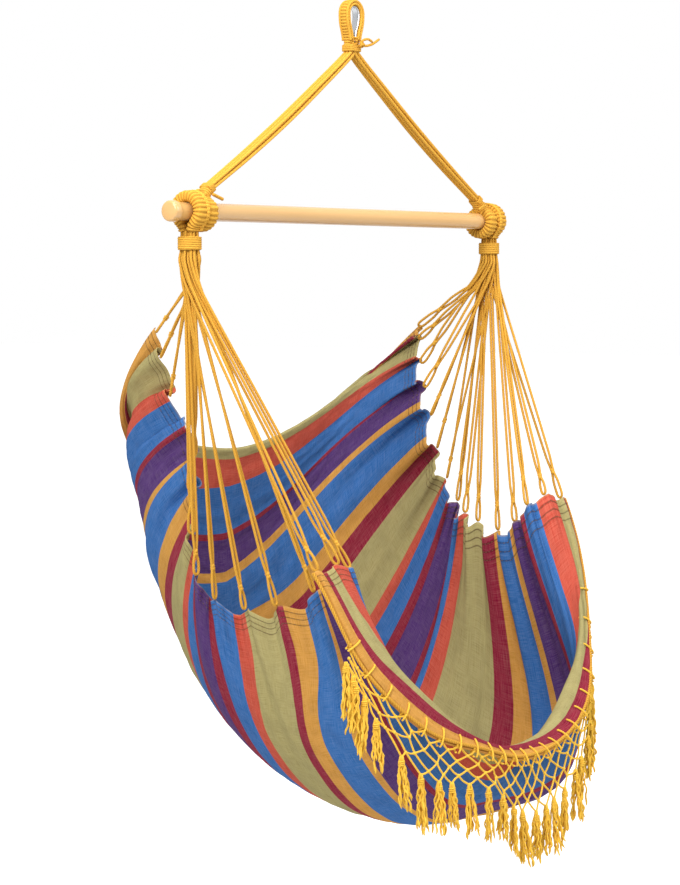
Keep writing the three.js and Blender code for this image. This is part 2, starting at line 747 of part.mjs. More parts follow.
// One tassel: a tapered bunch of cords that hangs from the lower edge of the net.
function tassel(top, facing) {
  const down = new THREE.Vector3(0, 0, -1).addScaledVector(facing, tasselLeanShare).normalize();
  const profile = [
    [0, -tasselOverlap],
    [tasselTopDiameter / 2, -tasselOverlap],
    [tasselEndDiameter / 2, tasselLength],
    [0, tasselLength],
  ];
  const geometry = new THREE.LatheGeometry(profile.map(([x, y]) => new THREE.Vector2(x, y)), tasselSides);
  const turn = new THREE.Quaternion().setFromUnitVectors(new THREE.Vector3(0, 1, 0), down);
  geometry.applyQuaternion(turn);
  geometry.translate(top.x, top.y, top.z);
  return asSolid(geometry);
}

function addFringe() {
  const line = fringeLine();
  addPiece("fringe_cord", cordAlong(line, fringeCordDiameter), "fringe");
  const strips = [];
  for (let column = netEndColumns; column <= clothStepsAcross - netEndColumns; column += 1) {
    strips.push(netStrip(line, column));
  }
  const side = (offset) => strips.map(({ points, facing }) => {
    return points.map((point) => point.clone().addScaledVector(facing, offset));
  });
  let net = asSolid(sheetBetween(side(netThickness / 2), side(-netThickness / 2)));
  for (let place = 0; place < tasselCount; place += 1) {
    const at = ((strips.length - 1) * (place + 0.5)) / tasselCount;
    const [before, after] = [strips[Math.floor(at)], strips[Math.ceil(at)]];
    const top = before.points[0].clone().lerp(after.points[0], at - Math.floor(at));
    net = net.add(tassel(top, before.facing));
  }
  addPiece("fringe_net", asGeometry(net), "fringe");
}

addHangingEye();
addEyeWhipping();
addTieKnot();
addBridle("left", -1);
addBridle("right", 1);
addSpreaderBar();
addBridleLoop("left", -1);
addBridleLoop("right", 1);
addClewLoop("left", -1);
addClewLoop("right", 1);
addClewWhipping("left", -1);
addClewWhipping("right", 1);
addNettles("left", -1);
addNettles("right", 1);
addSeatCloth();
addFringe();

export default hangingChair;
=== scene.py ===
import math
import random

import bmesh
import bpy
import numpy as np
from bpy.props import FloatProperty, FloatVectorProperty, IntProperty, PointerProperty
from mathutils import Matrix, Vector


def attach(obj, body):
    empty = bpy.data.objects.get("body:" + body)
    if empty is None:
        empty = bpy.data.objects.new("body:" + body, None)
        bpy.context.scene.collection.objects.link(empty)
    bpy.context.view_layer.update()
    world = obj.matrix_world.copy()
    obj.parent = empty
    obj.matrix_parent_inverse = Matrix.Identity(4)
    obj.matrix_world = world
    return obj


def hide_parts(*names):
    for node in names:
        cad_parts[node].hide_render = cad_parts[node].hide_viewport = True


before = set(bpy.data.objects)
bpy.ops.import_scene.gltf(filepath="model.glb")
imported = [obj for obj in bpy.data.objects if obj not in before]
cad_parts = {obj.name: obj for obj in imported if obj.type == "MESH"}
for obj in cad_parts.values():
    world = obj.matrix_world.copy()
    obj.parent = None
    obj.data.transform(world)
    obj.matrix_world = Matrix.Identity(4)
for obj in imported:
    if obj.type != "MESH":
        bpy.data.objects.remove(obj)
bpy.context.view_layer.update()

bl_info = {
    "name": "Hammock chair",
    "version": (1, 0, 0),
    "blender": (4, 5, 0),
    "location": "View3D > Sidebar > Hammock chair",
    "description": "Dresses a hanging hammock chair: striped cloth, cords, wooden bar and fringe",
    "category": "Object",
}

MM = 0.001
SIDES = (("left", -1), ("right", 1))
UPWARD = np.array((0.0, 0.0, 1.0))
WHITE = (1.0, 1.0, 1.0, 1.0)

# The rolled hem along the front edge: half its width in metres, and how far it swells in millimetres.
ROLL_HALF = 0.0148
ROLL_THICKNESS = 5.2

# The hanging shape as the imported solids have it: lengths in millimetres, counts, and shares.
TOUCH_GAP = 0.3
BAR_DROP = 371
BAR_SHIFT = -7
BAR_RADIUS = 15
CLEW_SPREAD = 435
CLEW_LOOP_WIDTH = 28
CLEW_LOOP_THICKNESS = 20
CLEW_LOOP_DROP = 36
CLEW_CORDS_SHOWN = 5
CLEW_WHIPPING_HEIGHT = 22
CLEW_WHIPPING_WALL = 3.5
CLEW_WHIPPING_TWINE = 3.7
BRIDLE_LOOP_WIDTH = 26
BRIDLE_LOOP_THICKNESS = 18
BRIDLE_LOOP_RISE = 38
BRIDLE_WHIPPING_HEIGHT = 12
BRIDLE_WHIPPING_WALL = 2.5
BRIDLE_WHIPPING_TWINE = 2.6
BRIDLE_CORDS_PER_SIDE = 6
BRIDLE_ROWS = 3
BRIDLE_THICKNESS = 6
BRIDLE_SAG = 8
NETTLES_PER_SIDE = 15
NETTLE_THICKNESS = 4.5
NETTLE_GAP = 0.8
NETTLE_EDGE_INSET = 16
CLOTH_LENGTH = 1300
BUNDLE_ROWS = (2, 5, 6, 5, 6, 5, 2)
SEAT_SPREAD = 382
SEAT_DEPTH = 300
SEAT_DROP = 1075
PLEAT_DEPTH = 18
SCALLOP_DEPTH = 16
PLEAT_FADE = 5
NET_END = 2 / 22
NET_DROP = 95
NET_SWING = 10
NET_END_DROP = 0.3
NET_END_REACH = 0.16
FRINGE_CORD = 7
THIMBLE_OPENING_WIDTH = 24
THIMBLE_OPENING_HEIGHT = 58
THIMBLE_WALL = 2
EYE_ROPE_THICKNESS = 12
EYE_ROPE_WIDTH = 21
EYE_NECK_WIDTH = 22
EYE_NECK_LENGTH = 6
EYE_WHIPPING_HEIGHT = 12
EYE_WHIPPING_WALL = 3
EYE_WHIPPING_TWINE = 2.9
ROPE_ROUNDING = 2

# The hem, one row for each nettle from the back edge to the front edge: shares of the seat's spread,
# its depth, its drop on the left and on the right, and of the pleats' depth on the left and right.
HEM_SHARES = np.array((
    (1.0, 0.43, 0.18, 0.185, 0.8, 0.8),
    (0.99, 0.42, 0.215, 0.205, 1.7, 1.0),
    (0.965, 0.38, 0.28, 0.249, 1.7, 1.3),
    (0.9, 0.3, 0.335, 0.294, 0.9, 1.2),
    (0.9, 0.25, 0.385, 0.348, 0.8, 0.9),
    (0.935, 0.23, 0.44, 0.41, 1.0, 1.1),
    (0.974, 0.183, 0.507, 0.465, 0.7, 0.9),
    (1.0, 0.117, 0.571, 0.505, 0.9, 1.2),
    (0.96, 0.02, 0.606, 0.523, 1.1, 0.9),
    (0.9, -0.14, 0.62, 0.534, 1.0, 1.1),
    (0.86, -0.333, 0.61, 0.544, 1.2, 0.9),
    (0.78, -0.53, 0.584, 0.521, 1.0, 0.8),
    (0.7, -0.69, 0.547, 0.486, 0.7, 0.7),
    (0.84, -0.71, 0.539, 0.473, 0.5, 0.6),
    (0.98, -0.71, 0.545, 0.484, 0.4, 0.5),
))

# Which way and how far the cloth swells at the right of its front, in millimetres. The scale makes
# the height of the swelling's own curve one.
SWELL_REACH = (100, -25, -60)
SWELL_SCALE = 6.75

# The cloth's middle line: shares of depth and drop, squareness in depth and in drop, bow, lean and
# how much of the swelling there is.
MIDDLE_SHARES = np.array((
    (1.04, 0.47, 4.0, 2.0, 0.38, 0.0, 0.0),
    (0.93, 0.4, 4.0, 1.7, 0.46, 0.0, 0.0),
    (0.99, 0.51, 4.0, 1.5, 0.5, 0.0, 0.0),
    (1.0, 0.63, 3.6, 1.4, 0.5, 0.0, 0.0),
    (0.9, 0.75, 3.2, 1.5, 0.45, 0.02, 0.0),
    (0.66, 0.86, 2.8, 1.7, 0.4, 0.04, 0.0),
    (0.33, 0.935, 2.4, 1.9, 0.35, 0.06, 0.0),
    (-0.04, 0.985, 2.2, 2.1, 0.3, 0.08, 0.0),
    (-0.4, 1.0, 2.2, 2.3, 0.3, 0.09, 0.3),
    (-0.74, 0.99, 2.6, 2.4, 0.3, 0.1, 0.8),
    (-1.0, 0.96, 3.0, 2.4, 0.3, 0.11, 1.0),
    (-1.17, 0.92, 3.0, 2.3, 0.27, 0.12, 0.2),
    (-1.25, 0.87, 3.2, 2.2, 0.2, 0.12, 0.0),
))

# The front lip, from the left hem to the right: how far its crest and then its edge stand from the
# plain surface along X, Y and Z, in shares of the lip's reach, and how far the net hangs.
LIP_SHARES = np.array((
    (0.0, 0.0, 0.0, 0.0, 0.0, 0.0, 1.1),
    (0.0, 0.0, 0.32, -0.44, 0.26, -0.44, 1.2),
    (0.0, 0.0, 0.88, -0.3, 0.18, -0.48, 0.8),
    (0.0, 0.0, 0.96, 0.0, 0.0, 0.0, 0.65),
    (-0.08, 0.12, 1.12, 0.0, 0.0, 0.0, 1.0),
    (-0.3, 0.4, 1.12, 0.0, 0.0, 0.0, 0.85),
    (-0.32, 0.4, 1.26, 0.0, 0.0, 0.0, 0.6),
    (-0.02, 0.04, 0.78, -0.18, 0.22, 0.16, 0.8),
    (0.0, 0.0, 0.0, 0.0, 0.0, 0.0, 0.8),
))
LIP_REACH = 50
LIP_HUMP = 10
LIP_START_SHARE = 0.75
LIP_CREST_SHARE = 1 - 1 / (NETTLES_PER_SIDE - 1)

# The stripes from the back edge to the middle one, with their widths in proportion. The front half
# has the same ones the other way round.
HALF_STRIPES = (
    ("ochre", 46), ("crimson", 20), ("olive", 90), ("coral", 45), ("blue", 82), ("crimson", 15),
    ("purple", 55), ("ochre", 20), ("blue", 70), ("ochre", 35), ("crimson", 25), ("olive", 100),
    ("coral", 32), ("blue", 50), ("crimson", 28),
)
STRIPES = (*HALF_STRIPES, ("purple", 80), *reversed(HALF_STRIPES))
STRIPES_ACROSS = sum(width for name, width in STRIPES)

# Rows of stitches in a side hem: the first row and the gap between rows, as shares of the hem.
STITCH_ROWS = 3
STITCH_ROW_START = 0.28
STITCH_ROW_GAP = 0.32

# Where pleats swallow or free some cloth: a place from back to front, and how far on the stripes are
# there, both as shares of the cloth's length. Left and right half, and each side hem alone.
LEFT_SLACK = (
    (0.107, -0.003), (0.15, -0.017), (0.21, -0.022), (0.28, -0.032), (0.35, -0.056), (0.372, -0.054),
    (0.4, -0.066), (0.53, 0.0),
)
RIGHT_SLACK = (
    (0.25, 0.0), (0.312, -0.018), (0.332, -0.014), (0.36, -0.026), (0.425, -0.02), (0.48, 0.0),
    (0.538, 0.007), (0.543, 0.035), (0.575, 0.025), (0.67, -0.004), (0.7, -0.017), (0.728, -0.022),
    (0.766, -0.009), (0.83, -0.023), (0.912, -0.046), (0.919, -0.023), (0.968, -0.012), (0.988, -0.02),
    (1.0, 0.0),
)
LEFT_HEM_SLACK = (
    (0.53, 0.0), (0.609, -0.02), (0.643, -0.03), (0.7, -0.034), (0.75, -0.044), (0.785, -0.03),
    (0.82, 0.0), (0.87, -0.02), (0.9, -0.034), (0.938, -0.042), (0.966, -0.01), (0.972, -0.001),
    (1.0, 0.0),
)
RIGHT_HEM_SLACK = (
    (0.83, 0.0), (0.897, 0.01), (0.912, 0.009), (0.919, -0.018), (0.955, -0.05), (0.97, -0.05),
    (0.985, -0.02), (1.0, 0.0),
)


def linear(*channels):
    """A display colour, 0 to 1 a channel, as the linear colour that a shader takes."""
    return tuple(c / 12.92 if c <= 0.04045 else ((c + 0.055) / 1.055) ** 2.4 for c in channels)


def colour_property(label, words, display):
    """A colour that the user may change."""
    return FloatVectorProperty(
        name=label, description=words, subtype="COLOR", size=3, min=0, max=1, default=linear(*display)
    )


def length_property(label, words, metres):
    """A length that the user may change."""
    return FloatProperty(name=label, description=words, default=metres, min=0, unit="LENGTH", precision=4)


class HammockClothSettings(bpy.types.PropertyGroup):
    """Sizes and colours of the striped cloth."""

    width: length_property("Cloth width", "Flat width of the cloth from hem to hem", 1.25)
    length: length_property("Cloth length", "Flat length of the cloth across its stripes", 1.3)
    thickness: length_property("Cloth thickness", "Thickness of the woven cloth", 0.0014)
    hem: length_property("Hem width", "Width of the stitched hem at the sides", 0.025)
    stitch: length_property("Stitch", "Length of one stitch in the hems", 0.0048)
    ochre: colour_property("Ochre", "Colour of the ochre stripes", (0.81, 0.58, 0.25))
    crimson: colour_property("Crimson", "Colour of the crimson stripes", (0.55, 0.05, 0.20))
    olive: colour_property("Olive", "Colour of the olive stripes", (0.66, 0.615, 0.40))
    coral: colour_property("Coral", "Colour of the coral stripes", (0.77, 0.30, 0.23))
    blue: colour_property("Blue", "Colour of the blue stripes", (0.16, 0.41, 0.68))
    purple: colour_property("Purple", "Colour of the purple stripes", (0.30, 0.16, 0.44))


class HammockRopeSettings(bpy.types.PropertyGroup):
    """Sizes and colours of the cords and the fringe."""

    nettle: length_property("Nettle cord", "Thickness of one cord between bar and hem", 0.005)
    bridle: length_property("Bridle cord", "Thickness of one cord between eye and bar", 0.006)
    twine: length_property("Wrapping cord", "Thickness of the cord wound round the loops", 0.006)
    net: length_property("Net cord", "Thickness of the fringe's net cord", 0.0036)
    cord: colour_property("Cord", "Colour of the cords", (0.89, 0.675, 0.26))
    # The groove colours are painted shade: each cord's colour where shade falls in its grooves.
    groove: colour_property("Cord groove", "Colour in the grooves of a cord", (0.56, 0.34, 0.08))
    fringe: colour_property("Fringe", "Colour of the net and the tassels", (0.97, 0.79, 0.30))
    fringe_groove_shade: colour_property("Fringe groove", "Colour in the fringe's grooves", (0.82, 0.60, 0.18))
    columns: IntProperty(name="Net columns", description="Meshes along the net", default=22, min=4)
    mesh_rows: IntProperty(name="Net rows", description="Rows of knots in the net", default=5, min=2)


class HammockStageSettings(bpy.types.PropertyGroup):
    """The bar's wood, the camera and the lights."""

    wood: colour_property("Wood", "Colour of the varnished bar", (0.83, 0.64, 0.37))
    azimuth: FloatProperty(name="Azimuth", description="Camera azimuth in degrees", default=-52)
    elevation: FloatProperty(name="Elevation", description="Camera elevation in degrees", default=4)
    distance: length_property("Distance", "Distance of the camera from its aim", 4.2)
    key: FloatProperty(name="Key light", description="Power of the key light in watts", default=80)
    fill: FloatProperty(name="World light", description="Strength of the even light", default=0.46)


# Smooth shapes


def bridged(t, start, rise, end, fall):
    """A smooth curve between two places, at t from 0 to 1, with the slopes that it has at both."""
    t2 = t * t
    t3 = t2 * t
    lead = (2 * t3 - 3 * t2 + 1) * start + (t3 - 2 * t2 + t) * rise
    return lead + (3 * t2 - 2 * t3) * end + (t3 - t2) * fall


def read_shares(rows, column, share):
    """A smooth curve through rows of shares, read at shares of its length."""
    last = len(rows) - 1
    place = np.clip(share, 0, 1) * last
    index = np.minimum(place.astype(int), last - 1)
    table = rows[:, column]
    start = table[index]
    end = table[index + 1]
    rise = (end - table[np.maximum(index - 1, 0)]) / 2
    fall = (table[np.minimum(index + 2, last)] - start) / 2
    return bridged(place - index, start, rise, end, fall)


def all_shares(rows, share):
    """Every column of a table of shares, read at shares of its length."""
    return [read_shares(rows, column, share) for column in range(rows.shape[1])]


def eased(share):
    """A share from 0 to 1 that starts and ends gently."""
    share = np.clip(share, 0, 1)
    return share * share * (3 - 2 * share)


def beside(distance, half_width):
    """One on a line, fading softly beside it."""
    return np.exp(-((distance / half_width) ** 2))


def unit(vectors):
    """Vectors of length one along the last axis."""
    return vectors / np.maximum(np.linalg.norm(vectors, axis=-1, keepdims=True), 1e-12)


def lip_offset(u, v):
    """How the front lip rises to its crest and turns over outwards, in millimetres."""
    rising = eased((v - LIP_START_SHARE) / (LIP_CREST_SHARE - LIP_START_SHARE))
    turning = eased((v - LIP_CREST_SHARE) / (1 - LIP_CREST_SHARE))
    offset = []
    for axis in range(3):
        crest = read_shares(LIP_SHARES, axis, u)
        edge = read_shares(LIP_SHARES, axis + 3, u)
        offset.append(LIP_REACH * rising * (crest + (edge - crest) * turning))
    offset[2] = offset[2] + LIP_HUMP * np.sin(np.pi * turning) * (1 - (2 * u - 1) ** 4)
    return np.stack(offset, -1)


def cloth_surface(u, v):
    """Points of the cloth in metres: u runs from the left hem to the right, v from back to front."""
    u, v = np.broadcast_arrays(np.asarray(u, float), np.asarray(v, float))
    t = 2 * u - 1
    bowing = 1 - t * t
    spread, hem_depth, left_drop, right_drop, left_full, right_full = all_shares(HEM_SHARES, v)
    depth, drop, depth_square, drop_square, bow, lean, swell = all_shares(MIDDLE_SHARES, v)
    leaning = np.abs(t - lean * bowing)
    hem_drop = left_drop + (right_drop - left_drop) * u
    sag = (drop - (left_drop + right_drop) / 2) * (1 - leaning**drop_square)
    fullness = np.where(t < 0, left_full, right_full)
    pleat = fullness * np.sin(np.pi * v * (NETTLES_PER_SIDE - 1)) ** 2 * np.abs(t) ** PLEAT_FADE
    x = SEAT_SPREAD * spread * t * (1 + bow * bowing) - np.sign(t) * PLEAT_DEPTH * pleat
    y = SEAT_DEPTH * (hem_depth + (depth - hem_depth) * (1 - leaning**depth_square))
    z = -BAR_DROP - SEAT_DROP * (hem_drop + sag) - SCALLOP_DEPTH * pleat
    swelling = SWELL_SCALE * swell * (bowing * np.maximum(t, 0)) ** 2
    swelling = swelling[..., None] * np.array(SWELL_REACH)
    return (np.stack((x, y, z), -1) + swelling + lip_offset(u, v)) * MM


def cloth_way(u, v, along_u, along_v):
    """The cloth's direction at a place, from a small step back to one ahead along u or along v."""
    ahead = cloth_surface(np.minimum(u + along_u, 1), np.minimum(v + along_v, 1))
    return ahead - cloth_surface(np.maximum(u - along_u, 0), np.maximum(v - along_v, 0))


def cloth_outward(u, v, step=1e-4):
    """The cloth's outward direction."""
    u, v = np.broadcast_arrays(np.asarray(u, float), np.asarray(v, float))
    return unit(np.cross(cloth_way(u, v, step, 0), cloth_way(u, v, 0, step)))


def smooth_noise(x, y, seed, size=64):
    """Soft noise from -1 to 1 on a plane, the same at every run."""
    lattice = np.random.RandomState(seed).uniform(-1, 1, (size, size))
    x0 = np.floor(x).astype(int)
    y0 = np.floor(y).astype(int)
    across = eased(x - x0)
    over = eased(y - y0)
    rows = []
    for j in (y0 % size, (y0 + 1) % size):
        rows.append(lattice[x0 % size, j] * (1 - across) + lattice[(x0 + 1) % size, j] * across)
    return rows[0] * (1 - over) + rows[1] * over


# Meshes


def make_object(name, vertices, faces, uvs=None, values=None, smooth=True):
    """A mesh object at the origin; uvs are one pair and values one number for each vertex."""
    mesh = bpy.data.meshes.new(name)
    mesh.from_pydata([tuple(p) for p in np.asarray(vertices).tolist()], [], faces)
    corners = np.empty(len(mesh.loops), dtype=np.int32)
    mesh.loops.foreach_get("vertex_index", corners)
    if uvs is not None:
        layer = mesh.uv_layers.new(name="surface")
        layer.data.foreach_set("uv", np.asarray(uvs, dtype=np.float32)[corners].ravel())
    if values is not None:
        # The groove attribute holds the painted shade share that the cord material reads.
        attribute = mesh.attributes.new("groove", "FLOAT", "POINT")
        attribute.data.foreach_set("value", np.asarray(values, dtype=np.float32))
    if smooth:
        mesh.polygons.foreach_set("use_smooth", np.ones(len(mesh.polygons), dtype=bool))
    mesh.update()
    return linked(name, mesh)


def linked(name, data):
    """An object that is in the scene."""
    obj = bpy.data.objects.new(name, data)
    bpy.context.scene.collection.objects.link(obj)
    return obj


def face_outwards(obj):
    """Turns a closed mesh's faces outwards."""
    sculpt = bmesh.new()
    sculpt.from_mesh(obj.data)
    bmesh.ops.remove_doubles(sculpt, verts=sculpt.verts, dist=1e-7)
    bmesh.ops.recalc_face_normals(sculpt, faces=sculpt.faces)
    sculpt.to_mesh(obj.data)
    sculpt.free()


def dress(obj, finish, slot, body, *nodes):
    """Paints a finished piece, lets it ride on its body and stand for its solids."""
    obj.data.materials.clear()
    obj.data.materials.append(material(finish))
    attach(obj, body)
    if nodes:
        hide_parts(*nodes)
    return obj


class Parts:
    """Collects the vertices and faces of several bodies for one mesh."""

    def __init__(self):
        self.vertices = []
        self.faces = []
        self.uvs = []
        self.values = []
        self.count = 0

    def add(self, vertices, faces, uvs, values):
        start = self.count
        self.vertices.append(np.asarray(vertices))
        self.uvs.append(np.asarray(uvs))
        self.values.append(np.asarray(values))
        self.faces.extend(tuple(start + i for i in face) for face in faces)
        self.count += len(vertices)

    def dress(self, name, body, *nodes, finish="cord", slot="rope", outwards=False):
        """Makes one mesh of the bodies and dresses it as a piece."""
        uvs = np.concatenate(self.uvs)
        obj = make_object(name, np.concatenate(self.vertices), self.faces, uvs, np.concatenate(self.values))
        if outwards:
            face_outwards(obj)
        return dress(obj, finish, slot, body, *nodes)


def skin(rows, sides, closed=False):
    """Faces round rows of points that each run once round: a closed ring, or a tube with two ends."""
    faces = []
    for i in range(rows if closed else rows - 1):
        low = i * sides
        high = (i + 1) % rows * sides
        for j in range(sides):
            k = (j + 1) % sides
            faces.append((low + j, low + k, high + k, high + j))
    if not closed:
        faces.append(tuple(range(sides - 1, -1, -1)))
        faces.append(tuple((rows - 1) * sides + j for j in range(sides)))
    return faces


def around_circle(steps, turns=1, extra=0):
    """Angles in radians at even steps round a circle."""
    return np.arange(steps * turns + extra) * 2 * math.pi / steps


def spaced(points, step):
    """Points of a smooth line through the given ones, evenly spaced by about a step."""
    points = np.asarray(points, float)
    last = len(points) - 1
    if last > 1:
        rows = []
        t = np.linspace(0, 1, 9)[:-1, None]
        for i in range(last):
            reach = np.linalg.norm(points[i + 1] - points[i])
            slopes = []
            for k in (i, i + 1):
                slope = (points[min(k + 1, last)] - points[max(k - 1, 0)]) / 2
                slopes.append(slope * min(1, reach / max(np.linalg.norm(slope), 1e-9)))
            rows.append(bridged(t, points[i], slopes[0], points[i + 1], slopes[1]))
        points = np.concatenate(rows + [points[-1:]])
    lengths = np.concatenate(([0], np.cumsum(np.linalg.norm(np.diff(points, axis=0), axis=1))))
    count = max(int(lengths[-1] / step), 2)
    places = np.linspace(0, lengths[-1], count + 1)
    return np.stack([np.interp(places, lengths, points[:, k]) for k in range(3)], 1), places


def carried_frames(points, closed=False, start=(0, 1, 0)):
    """Two directions square to a line at each of its points, carried along without twisting."""
    ahead = np.roll(points, -1, 0) - np.roll(points, 1, 0)
    if not closed:
        ahead[0] = points[1] - points[0]
        ahead[-1] = points[-1] - points[-2]
    ahead = unit(ahead)
    first = np.array(start, float)
    if abs(first @ ahead[0]) > 0.9:
        first = np.array((1.0, 0.0, 0.0))
    normals = []
    for direction in ahead:
        first = first - direction * (first @ direction)
        first /= np.linalg.norm(first)
        normals.append(first)
    normals = np.array(normals)
    return normals, np.cross(ahead, normals)


def swept(line, normals, others, wide, tall):
    """Points round a line, so far off it along its two square directions."""
    off = normals[:, None, :] * wide[:, :, None] + others[:, None, :] * tall[:, :, None]
    return (line[:, None, :] + off).reshape(-1, 3)


# The depth of lay, as a share of a cord's radius, from which the painted shade in its grooves is fully
# dark.
CLEAR_LAY = 0.18


def twisted_cord(parts, points, radius, pitch, sides=10, plies=3, depth=0.16, step=None, ends=None):
    """A laid cord along a line: a lobed section that turns as it goes. ends are radii there."""
    line, places = spaced(points, step or pitch / 6)
    normals, others = carried_frames(line)
    around = around_circle(sides)
    turn = around[None, :] - 2 * np.pi * places[:, None] / pitch
    lobe = np.abs(np.cos(plies * turn / 2))
    reach = radius * (1 - depth * (1 - lobe))
    if ends is not None:
        reach = reach * np.interp(places / places[-1], ends[0], ends[1])[:, None]
    vertices = swept(line, normals, others, np.cos(around) * reach, np.sin(around) * reach)
    rows = len(line)
    uvs = np.stack((np.repeat(places, sides), np.tile(around * radius, rows)), 1)
    # The groove values are painted shade: full deep between the plies, none on their crowns.
    parts.add(vertices, skin(rows, sides), uvs, ((1 - lobe) * min(1, depth / CLEAR_LAY)).ravel())


# A rope wound with twine: points round it, how far a turn of twine slants, and its least half width.
BAND_SIDES = 28
BAND_SLANT = 0.35
BAND_LEAST = 0.0004


def wrapped_band(parts, line, widths, thicknesses, twine, closed=True, start=(1, 0, 0), square=0.8,
                 sink=0.42):
    """A rope wound over with twine along a line: ridges follow one another along it."""
    line, places = spaced(np.concatenate((line, line[:1])) if closed else line, twine / 6)
    if closed:
        line = line[:-1]
        places = places[:-1]
    share = places / places[-1]
    normals, others = carried_frames(line, closed, start)
    around = around_circle(BAND_SIDES)
    wraps = max(round(places[-1] / twine), 3) if closed else places[-1] / twine
    ridge = np.abs(np.sin(np.pi * (share[:, None] * wraps + BAND_SLANT * around / (2 * np.pi)))) ** 0.7
    reaches = []
    for sizes, flank in ((widths, np.cos(around)), (thicknesses, np.sin(around))):
        half = np.interp(share, np.linspace(0, 1, len(sizes)), sizes) / 2
        full = np.maximum(half[:, None] - twine * sink * (1 - ridge), BAND_LEAST)
        reaches.append(full * np.sign(flank) * np.abs(flank) ** square)
    rows = len(line)
    uvs = np.stack((np.repeat(places, BAND_SIDES), np.tile(around * 0.01, rows)), 1)
    vertices = swept(line, normals, others, *reaches)
    # The groove values, 1 - ridge, are painted shade between the turns of twine.
    parts.add(vertices, skin(rows, BAND_SIDES, closed), uvs, (1 - ridge).ravel())


def build_whipping(name, node, body, outline, base, up, height, wall, twine):
    """Turns of twine round a bundle, one above the other: outline is its skin, in millimetres."""
    count = len(outline)
    outward = unit(outline - outline.mean(0))
    turns = max(round(height / twine), 2)
    steps = turns * 6
    rows = [outline]
    # The grooves values are painted shade: full at the band's ends and between its turns of twine.
    grooves = [np.ones(count)]
    for i in range(steps + 1):
        share = i / steps
        ridge = np.abs(np.sin(np.pi * (share * turns + np.arange(count) / count))) ** 0.6
        close = min(1.0, 3.0 * min(share, 1 - share) * turns / 2 + 0.55)
        reach = wall * (close - 0.3 * (1 - ridge))
        rows.append(outline + outward * reach[:, None] + up * height * share)
        grooves.append(1 - ridge)
    rows.append(outline + up * height)
    grooves.append(np.ones(count))
    total = len(rows)
    lengths = np.tile(np.arange(count) / count * 0.1, total)
    uvs = np.stack((lengths, np.repeat(np.arange(total), count) * MM), 1)
    parts = Parts()
    vertices = (base + np.concatenate(rows)) * MM
    parts.add(vertices, skin(total, count, closed=True), uvs, np.concatenate(grooves))
    return parts.dress(name, body, node, outwards=True)


# The corners of a bundle of cords: their radius in millimetres and the steps round each.
CORNER_RADIUS = 3.0
CORNER_STEPS = 8


def rounded_outline(half_width, half_height, across, along):
    """A rectangle with round corners in the plane of two directions, as points round its middle."""
    points = []
    for corner, (sx, sy) in enumerate(((1, 1), (-1, 1), (-1, -1), (1, -1))):
        for k in range(CORNER_STEPS + 1):
            angle = (corner + k / CORNER_STEPS) * math.pi / 2
            x = sx * (half_width - CORNER_RADIUS) + CORNER_RADIUS * math.cos(angle)
            y = sy * (half_height - CORNER_RADIUS) + CORNER_RADIUS * math.sin(angle)
            points.append(np.asarray(across) * x + np.asarray(along) * y)
    return np.array(points)


# Repeated pieces by Geometry Nodes


def add_node(tree, kind, inputs=None, **settings):
    """A node with its settings, and with a socket or a plain value for each input that is named."""
    made = tree.nodes.new(kind)
    for key, value in settings.items():
        setattr(made, key, value)
    for key, value in (inputs or {}).items():
        if isinstance(value, bpy.types.NodeSocket):
            tree.links.new(value, made.inputs[key])
        else:
            made.inputs[key].default_value = value
    return made


def copies_tree(name, finish):
    """Nodes that put a turned and sized copy of a shape at each point of a mesh."""
    tree = bpy.data.node_groups.new(name, "GeometryNodeTree")
    for label, way, kind in (("Places", "INPUT", "Geometry"), ("Shape", "INPUT", "Object"),
                             ("Scale", "INPUT", "Float"), ("Copies", "OUTPUT", "Geometry")):
        tree.interface.new_socket(label, in_out=way, socket_type="NodeSocket" + kind)
    entry = add_node(tree, "NodeGroupInput").outputs
    shape = add_node(tree, "GeometryNodeObjectInfo", {"Object": entry["Shape"]}).outputs["Geometry"]
    read = {}
    for label in ("turn", "size"):
        reader = add_node(tree, "GeometryNodeInputNamedAttribute", {"Name": label},
                          data_type="FLOAT_VECTOR")
        read[label] = reader.outputs["Attribute"]
    scaled = add_node(tree, "ShaderNodeVectorMath", {0: read["size"], "Scale": entry["Scale"]},
                      operation="SCALE").outputs["Vector"]
    placed = add_node(tree, "GeometryNodeInstanceOnPoints", {
        "Points": entry["Places"], "Instance": shape, "Rotation": read["turn"], "Scale": scaled,
    }).outputs["Instances"]
    whole = add_node(tree, "GeometryNodeRealizeInstances", {"Geometry": placed}).outputs["Geometry"]
    paint = add_node(tree, "GeometryNodeSetMaterial", {"Geometry": whole, "Material": material(finish)})
    add_node(tree, "NodeGroupOutput", {"Copies": paint.outputs["Geometry"]})
    return tree


def scatter(name, copies, shape, finish, slot, body):
    """Copies of a small closed shape, each a place, a turn and a size, as one plain dressed mesh."""
    places, turns, sizes = zip(*copies)
    mesh = bpy.data.meshes.new(name)
    mesh.from_pydata([tuple(p) for p in places], [], [])
    for label, values in (("turn", turns), ("size", sizes)):
        layer = mesh.attributes.new(label, "FLOAT_VECTOR", "POINT")
        layer.data.foreach_set("vector", np.asarray(values, dtype=np.float32).ravel())
    holder = linked(name + "_places", mesh)
    copied = make_object(name + "_shape", *shape)
    tree = copies_tree(name + "_copies", finish)
    modifier = holder.modifiers.new("Copies", "NODES")
    modifier.node_group = tree
    values = {"Shape": copied, "Scale": 1.0}
    for socket in tree.interface.items_tree:
        if socket.name in values:
            modifier[socket.identifier] = values[socket.name]
    bpy.context.view_layer.update()
    evaluated = holder.evaluated_get(bpy.context.evaluated_depsgraph_get())
    result = bpy.data.meshes.new_from_object(evaluated)
    holder.modifiers.remove(modifier)
    bpy.data.node_groups.remove(tree)
    for helper in (holder, copied):
        used = helper.data
        bpy.data.objects.remove(helper)
        bpy.data.meshes.remove(used)
    result.name = name
    return dress(linked(name, result), finish, slot, body)


